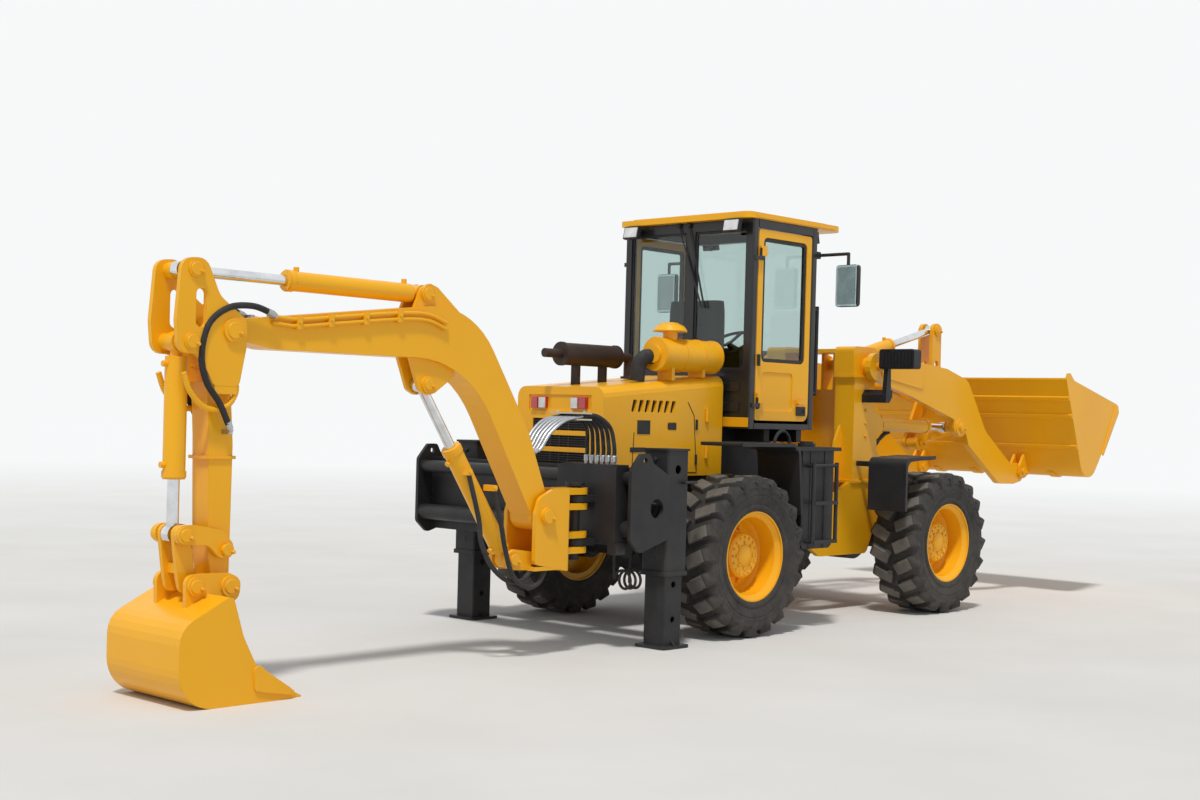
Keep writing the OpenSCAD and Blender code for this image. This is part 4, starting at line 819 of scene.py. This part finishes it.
def make_post_coil():
    """A coiled hose beside the right outrigger's post."""
    x, y, z = COIL_AT
    count = COIL_TURNS * COIL_STEPS
    points = [mm(*COIL_ENDS[0])]
    for i in range(count + 1):
        a = 2 * math.pi * i / COIL_STEPS
        along = x + COIL_LENGTH * (i / count)
        points.append(mm(along, y + COIL_RADIUS * math.cos(a), z + COIL_RADIUS * math.sin(a)))
    points.append(mm(*COIL_ENDS[1]))
    hose("post_hose_coil", points, 0.009, 2, body="rear_frame", sides=8)


def make_intake():
    """The hose from the air cleaner down into the hood."""
    intake = Shape()
    intake.tube([mm(*place) for place in INTAKE], 0.052, 20)
    finish(intake, "intake_duct", HOSE, "rear_frame")


# Hood, cab and lamps, in millimetres from the rear axle

# The seams of the hood's doors, each a line of places, [x, z], and their distance from the middle
HOOD_SEAMS = (((-46, 1551), (21, 1463), (60, 1072)), ((-586, 1340), (-601, 1072)), ((-601, 1072), (60, 1072)))
HOOD_SEAM_Y = 401
# Dark plates: lowest and highest x, lowest and highest z. The backings are painted shade: dark plates behind
# the louvres and the latch, where the inside of the hood is in shade.
HOOD_SLOT_SHADES = ((-640, -96, 1462, 1568), (-262, -138, 1200, 1245))
HOOD_SLOT_SHADE_Y = (374, 378)
HOOD_LOCKS = ((-622, -472, 1209, 1241), (-556, -430, 1329, 1421), (-246, -164, 1364, 1406))
HOOD_LOCK_Y = (398, 403.5)
# The grille's fine mesh: half of the width it covers, wires upright, and the spacing of the level ones
MESH_Y = 245
MESH_COUNT = 40
MESH_STEP = 19.5
# The rear window's two panes, in metres: highest y of the right one and lowest y of the left one
PANE_GAP = (-0.0703, 0.0103)
PANE_LOW_Z = 1.790
# The wipers: number, y and z of the pivot, y of the tip
WIPERS = ((1, 78, 2829, -77), (2, -16, 2824, -124))
WIPER_TIP_Z = 2420
# The outrigger posts' outer face, their middle and the locking pin's height
POST_X = -905
POST_Y = 880
LOCK_PIN_Z = 900
# The mirrors: the reach of the glass and its rim from the middle, and their heights
MIRROR_Y = (768, 942)
MIRROR_Z = (2274, 2286, 2554, 2566)
MIRROR_RIM = 8


def make_hood_trim():
    """Door seams, locks, hinges and dark backings of painted shade behind the slots on both sides, a dark
    plate of painted shade behind the grille, and fine mesh in the grille.
    """
    seams = Shape()
    dark = Shape()
    for sign in (-1, 1):
        for run in HOOD_SEAMS:
            for (x0, z0), (x1, z1) in zip(run, run[1:]):
                seams.rod(mm(x0, sign * HOOD_SEAM_Y, z0), mm(x1, sign * HOOD_SEAM_Y, z1), 0.003, 6)
        # The backings are painted shade behind the slots; the locks are dark parts of their own.
        for plates, depth in ((HOOD_SLOT_SHADES, HOOD_SLOT_SHADE_Y), (HOOD_LOCKS, HOOD_LOCK_Y)):
            low, high = span(sign, *depth)
            for x0, x1, z0, z1 in plates:
                dark.box(mm(x0, low, z0), mm(x1, high, z1))
        for z in (1160, 1400):
            dark.rod(mm(48, sign * 405, z - 35), mm(48, sign * 405, z + 35), 0.009)
    finish(seams, "hood_door_seams", PLASTIC, "rear_frame")
    finish(dark, "hood_slot_shade_and_locks", PLASTIC, "rear_frame")
    # A dark plate of painted shade behind the grille, so that its openings look dark.
    grille_shade = Shape()
    grille_shade.box(mm(-861, -262, 1108), mm(-858, 262, 1428))
    finish(grille_shade, "grille_shade_plate", PLASTIC, "rear_frame")
    mesh = Shape()
    for z in GRILLE_Z:
        for i in range(MESH_COUNT + 1):
            y = -MESH_Y + 2 * MESH_Y * i / MESH_COUNT
            mesh.rod(mm(GRILLE_X + 1, y, z + 1), mm(GRILLE_X + 1, y, z + GRILLE_H - 1), 0.0025, 5)
        for k in range(1, 4):
            level = z + MESH_STEP * k
            mesh.rod(mm(GRILLE_X - 1, 1 - GRILLE_Y, level), mm(GRILLE_X - 1, GRILLE_Y - 1, level), 0.002, 5)
    finish(mesh, "grille_mesh", PLASTIC, "rear_frame")


def make_lamps():
    """The rear lamps' red and white lenses."""
    for colour, middle, material in (("red", 222, RED), ("white", 150, CLEAR)):
        shape = Shape()
        for sign in (-1, 1):
            shape.box(mm(-906, sign * middle - 29, 1488), mm(-898, sign * middle + 29, 1557))
        finish(shape, f"rear_lamp_{colour}_lenses", material, "rear_frame")


def make_door_trim():
    """Hinges and a lock on each door."""
    for side, sign in SIDES:
        trim = Shape()
        for z in (1560, 1860, 2600):
            trim.rod(mm(452, sign * 612, z - 40), mm(452, sign * 612, z + 40), 0.012)
        low, high = span(sign, 600, 606)
        trim.box(mm(915, low, 1480), mm(1020, high, 1545))
        trim.disc(mm(1000, sign * 601, 1512), sign * Y, [[0.012, 0.004], [0.012, 0.010], [0.009, 0.012]], 16)
        finish(trim, f"{side}_door_trim", PLASTIC, f"{side}_door_body")


def rounded(low_x, high_x, low_z, high_z, radius):
    """The outline of a rounded rectangle, as pairs of numbers."""
    outline = []
    for x, z, start in ((high_x - radius, high_z - radius, 0), (low_x + radius, high_z - radius, 90),
                        (low_x + radius, low_z + radius, 180), (high_x - radius, low_z + radius, 270)):
        for k in range(5):
            a = math.radians(start + 22.5 * k)
            outline.append((x + radius * math.cos(a), z + radius * math.sin(a)))
    return outline


def gasket(shape, edges, radius, width, depth, place):
    """A rubber frame inside an opening. Place turns a pair of numbers and a depth into a point."""
    low_a, high_a, low_b, high_b = edges
    outer = rounded(low_a, high_a, low_b, high_b, radius)
    inner = rounded(low_a + width, high_a - width, low_b + width, high_b - width, max(radius - width, 0.008))
    loops = [(outer, depth[0]), (inner, depth[0]), (inner, depth[1]), (outer, depth[1]), (outer, depth[0])]
    shape.skin([[place(a, b, c) for a, b in outline] for outline, c in loops], caps=False)


def make_gaskets():
    """Rubber frames around the doors' and the rear window's panes, and the strip under the rear window."""
    for side in ("right", "left"):
        low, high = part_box(f"{side}_door_glass")
        door = Shape()
        gasket(door, (low[0], high[0], low[2], high[2]), 0.040, 0.026, (low[1] - 0.010, high[1] + 0.010),
               lambda a, b, c: Vector((a, c, b)))
        finish(door, f"{side}_door_gasket", PLASTIC, f"{side}_door_body")
    low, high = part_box("cab_glass")
    rear = Shape()
    for low_y, high_y in ((low[1], PANE_GAP[0]), (PANE_GAP[1], high[1])):
        gasket(rear, (low_y, high_y, PANE_LOW_Z, high[2]), 0.020, 0.016, (low[0] - 0.006, low[0] + 0.012),
               lambda a, b, c: Vector((c, a, b)))
    finish(rear, "rear_window_gaskets", PLASTIC, "rear_frame")
    strip = Shape()
    strip.box(mm(371, -594, 1392), mm(374, -269, 1458))
    finish(strip, "cab_rear_strip", YELLOW, "rear_frame")


def make_wipers():
    """Two wipers on the rear window: a hub, an arm and a blade each."""
    for number, y, pivot_z, tip_y in WIPERS:
        wiper = Shape()
        pivot = mm(362, y, pivot_z)
        tip = mm(362, tip_y, WIPER_TIP_Z)
        wiper.disc(mm(374, y, pivot_z), -X, [[0.020, 0], [0.020, 0.018], [0.014, 0.024]], 20)
        wiper.rod(pivot, tip, 0.005, 8)
        blade = 0.20 * (tip - pivot).normalized()
        wiper.rod(tip - blade + 0.006 * X, tip + blade + 0.006 * X, 0.007, 8)
        finish(wiper, f"rear_wiper_{number}", PLASTIC, "rear_frame")


def make_outrigger_trim():
    """The bolts and the locking pin with its chain on each outrigger's post."""
    for side, sign in SIDES:
        bolts = Shape()
        for z in (1180, 1110):
            bolts.bolt(mm(POST_X, sign * POST_Y, z), -X, 0.014, 0.014)
        for z in (560, 620, 700):
            bolts.disc(mm(POST_X, sign * POST_Y, z), -X, [[0.016, 0], [0.016, 0.002]], 20)
        finish(bolts, f"{side}_post_bolts", BLACK, "rear_frame")
        chain = Shape()
        start = mm(POST_X + 4, sign * POST_Y, LOCK_PIN_Z)
        chain.rod(start, mm(POST_X - 52, sign * POST_Y, LOCK_PIN_Z), 0.011)
        chain.disc(mm(POST_X - 48, sign * POST_Y, LOCK_PIN_Z), -X, [[0.018, 0], [0.018, 0.008]], 20)
        places = ((-44, POST_Y, LOCK_PIN_Z), (-30, 850, 800), (-12, 820, 760), (-4, 800, 880))
        links = smooth_line([mm(POST_X + x, sign * y, z) for x, y, z in places])
        for i, (a, b) in enumerate(zip(links, links[1:])):
            chain.rod(a, b, 0.0045 if i % 2 else 0.006, 6)
        finish(chain, f"{side}_post_pin_and_chain", STEEL, "rear_frame")


def cushion(shape, middle, size, levels=8, sides=32):
    """A crowned closed form with rounded corners, flat below and above."""
    rings = []
    for level in range(levels + 1):
        t = -1 + 2 * level / levels
        pinch = (1 - abs(t) ** 4) ** 0.25 if abs(t) < 1 else 0.55
        wide = 0.90 + 0.10 * pinch
        ring = []
        for a in round_angles(sides):
            c = math.copysign(abs(math.cos(a)) ** 0.35, math.cos(a))
            s = math.copysign(abs(math.sin(a)) ** 0.35, math.sin(a))
            ring.append(middle + Vector((0.5 * size.x * c * wide, 0.5 * size.y * s * wide, 0.5 * size.z * t)))
        rings.append(ring)
    shape.skin(rings)


def make_seat():
    """Cushions in place of the seat's plain solid: the seat and the back."""
    low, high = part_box("operator_seat")
    middle = (low[1] + high[1]) / 2
    width = high[1] - low[1]
    height = high[2] - low[2]
    pads = Shape()
    cushion(pads, Vector((low[0] + 0.235, middle, low[2] + 0.062)), Vector((0.400, width, 0.120)))
    cushion(pads, Vector((low[0] + 0.062, middle, (low[2] + high[2]) / 2 + 0.05)),
            Vector((0.120, width, height - 0.105)))
    seat = finish(pads, "seat_cushions", SEAT, "rear_frame", 60)
    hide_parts("operator_seat")


def make_mirrors():
    """A rimmed glass on the back of each mirror."""
    z0, z1, z2, z3 = MIRROR_Z
    for side, sign in SIDES:
        low, high = span(sign, *MIRROR_Y)
        inner_low = low + MIRROR_RIM
        inner_high = high - MIRROR_RIM
        glass = Shape()
        glass.box(mm(1130, inner_low, z1), mm(1135, inner_high, z2))
        finish(glass, f"{side}_mirror_glass", MIRROR, "rear_frame")
        rim = Shape()
        for y_a, y_b, z_a, z_b in ((low, high, z0, z1), (low, high, z2, z3), (low, inner_low, z1, z2),
                                   (inner_high, high, z1, z2)):
            rim.box(mm(1127, y_a, z_a), mm(1136, y_b, z_b))
        finish(rim, f"{side}_mirror_rim", CHROME, "rear_frame")


def make_work_lamps():
    """A housing and a lens over each work lamp, at the cab's back and front."""
    for end, x, facing in (("rear", 288, -1), ("front", 1212, 1)):
        lean = Matrix.Rotation(math.radians(-12 * facing), 3, "Y")
        for side, sign in SIDES:
            at = mm(x, sign * 470, 2788)
            for name, near, away, half_y, half_z, material in (
                ("housing", -0.022, 0.008, 0.070, 0.044, PLASTIC),
                ("lens", 0.006, 0.013, 0.061, 0.036, CLEAR),
            ):
                shape = Shape()
                low_x, high_x = span(facing, near, away)
                low = at + Vector((low_x, -half_y, -half_z))
                high = at + Vector((high_x, half_y, half_z))
                shape.box(low, high, lean, at)
                finish(shape, f"{end}_{side}_work_lamp_{name}", material, "rear_frame")


def make_head_lamps():
    """Ribs on the back of each head lamp's box and a lens and an amber lamp in front."""
    for side, sign in SIDES:
        middle = sign * 725
        ribs = Shape()
        for i in range(9):
            y = middle - 120 + 30 * i
            ribs.box(mm(1994, y - 5, 1880), mm(2001, y + 5, 1990))
        finish(ribs, f"{side}_head_lamp_ribs", PLASTIC, "front_frame")
        for name, material, away, sides, profile in (
            ("head", CLEAR, -50, 32, [[0.058, 0], [0.058, 0.006], [0.045, 0.012], [0.010, 0.016]]),
            ("turn", AMBER, 90, 24, [[0.035, 0], [0.035, 0.006], [0.020, 0.012]]),
        ):
            shape = Shape()
            shape.disc(mm(2093, middle + sign * away, 1935), X, profile, sides)
            finish(shape, f"{side}_{name}_lamp_lens", material, "front_frame")


# Loader

# The cutting edge's bolts: their count, the first one's y, their spacing, and the way that they face
EDGE_BOLTS = 11
EDGE_BOLT_Y = -0.95
EDGE_BOLT_STEP = 0.19
EDGE_AXIS = Vector((0.79, 0, -0.61))


def make_bucket_trim():
    """Bolts along the loader bucket's cutting edge."""
    edge = Shape()
    for i in range(EDGE_BOLTS):
        y = EDGE_BOLT_Y + EDGE_BOLT_STEP * i
        edge.bolt(front(2535, 1000 * y, 1473) - 0.001 * EDGE_AXIS, EDGE_AXIS, 0.013, 0.010)
    finish(edge, "loader_bucket_edge_bolts", STEEL, "loader_bucket_body")


def make_tower_trim():
    """Bolts on both sides of the loader's tower."""
    bolts = Shape()
    for sign in (-1, 1):
        for z in (1640, 1540, 1440, 1340):
            bolts.bolt(mm(2060, sign * 420, z), sign * Y, 0.012, 0.012)
    finish(bolts, "tower_bolts", YELLOW, "front_frame")


# Studio

FLOOR_NEAR = ((0.70, 0.69, 0.67), (0.76, 0.75, 0.735))
FLOOR_FAR = (0.907, 0.917, 0.927)
# Distances from the machine's middle at which the floor starts and ends to fade to its far colour
FLOOR_FADE = (6.0, 30.0)
FLOOR_REACH = 90
FILL_COLOUR = (0.92, 0.96, 1.0)
FILL_STRENGTH = 0.50
BACKGROUND = (0.93, 0.945, 0.95)
SUN_COLOUR = (1.0, 0.975, 0.93)
SUN_STRENGTH = 2.0
SUN_ANGLE = math.radians(6)
SUN_AIM = Vector((0.42, 0.30, -1.0))


def make_floor():
    """A flat pale floor, which fades to the background's colour far from the machine."""
    material, tree, shader = new_material("studio")
    away = node(tree, "ShaderNodeVectorMath", operation="LENGTH", Vector=own_place(tree))
    fade = ramp(tree, away.outputs["Value"], *FLOOR_FADE, 0.0, 1.0)
    set_up(tree, shader,
           Base_Color=blended(tree, fade, mottled(tree, 0.6, 6.0, *FLOOR_NEAR), FLOOR_FAR),
           Roughness=0.9,
           Specular_IOR_Level=0.0)
    bump(tree, shader, noise(tree, 40.0, 6.0), 0.1, 0.002)
    mesh = bpy.data.meshes.new("floor")
    shape = bmesh.new()
    bmesh.ops.create_grid(shape, x_segments=1, y_segments=1, size=FLOOR_REACH)
    shape.to_mesh(mesh)
    shape.free()
    floor = bpy.data.objects.new("floor", mesh)
    bpy.context.scene.collection.objects.link(floor)
    mesh.materials.append(material)


def make_light():
    """A soft sun and a fill from all around. The background has its own colour, also in metal and glass."""
    world = bpy.data.worlds.new("world")
    bpy.context.scene.world = world
    world.use_nodes = True
    tree = world.node_tree
    tree.nodes.clear()
    out = node(tree, "ShaderNodeOutputWorld")
    fill = node(tree, "ShaderNodeBackground", Color=FILL_COLOUR, Strength=FILL_STRENGTH)
    seen = node(tree, "ShaderNodeBackground", Color=BACKGROUND, Strength=1.0)
    ray = node(tree, "ShaderNodeLightPath").outputs
    mirrored = maths(tree, "MAXIMUM", ray["Is Camera Ray"], ray["Is Glossy Ray"])
    shown = maths(tree, "MAXIMUM", mirrored, ray["Is Transmission Ray"])
    mix = node(tree, "ShaderNodeMixShader")
    for socket, value in zip(mix.inputs, (shown, fill.outputs[0], seen.outputs[0])):
        tree.links.new(value, socket)
    tree.links.new(mix.outputs[0], out.inputs["Surface"])
    data = bpy.data.lights.new("sun", "SUN")
    data.energy = SUN_STRENGTH
    data.angle = SUN_ANGLE
    data.color = SUN_COLOUR
    sun = bpy.data.objects.new("sun", data)
    sun.rotation_euler = SUN_AIM.to_track_quat("-Z", "Y").to_euler()
    bpy.context.scene.collection.objects.link(sun)


dress_nodes()
make_wheels()
make_pins()
make_arch_hoses()
make_cylinder_hoses()
make_stick_hoses()
make_pipes()
make_hood_trim()
make_lamps()
make_door_trim()
make_wipers()
make_outrigger_trim()
make_seat()
make_mirrors()
make_work_lamps()
make_head_lamps()
make_gaskets()
make_intake()
make_bucket_trim()
make_tower_trim()
make_loader_hoses()
make_tank_hoses()
make_post_coil()
make_camera()
make_floor()
make_light()
bpy.context.scene.view_settings.view_transform = "Standard"
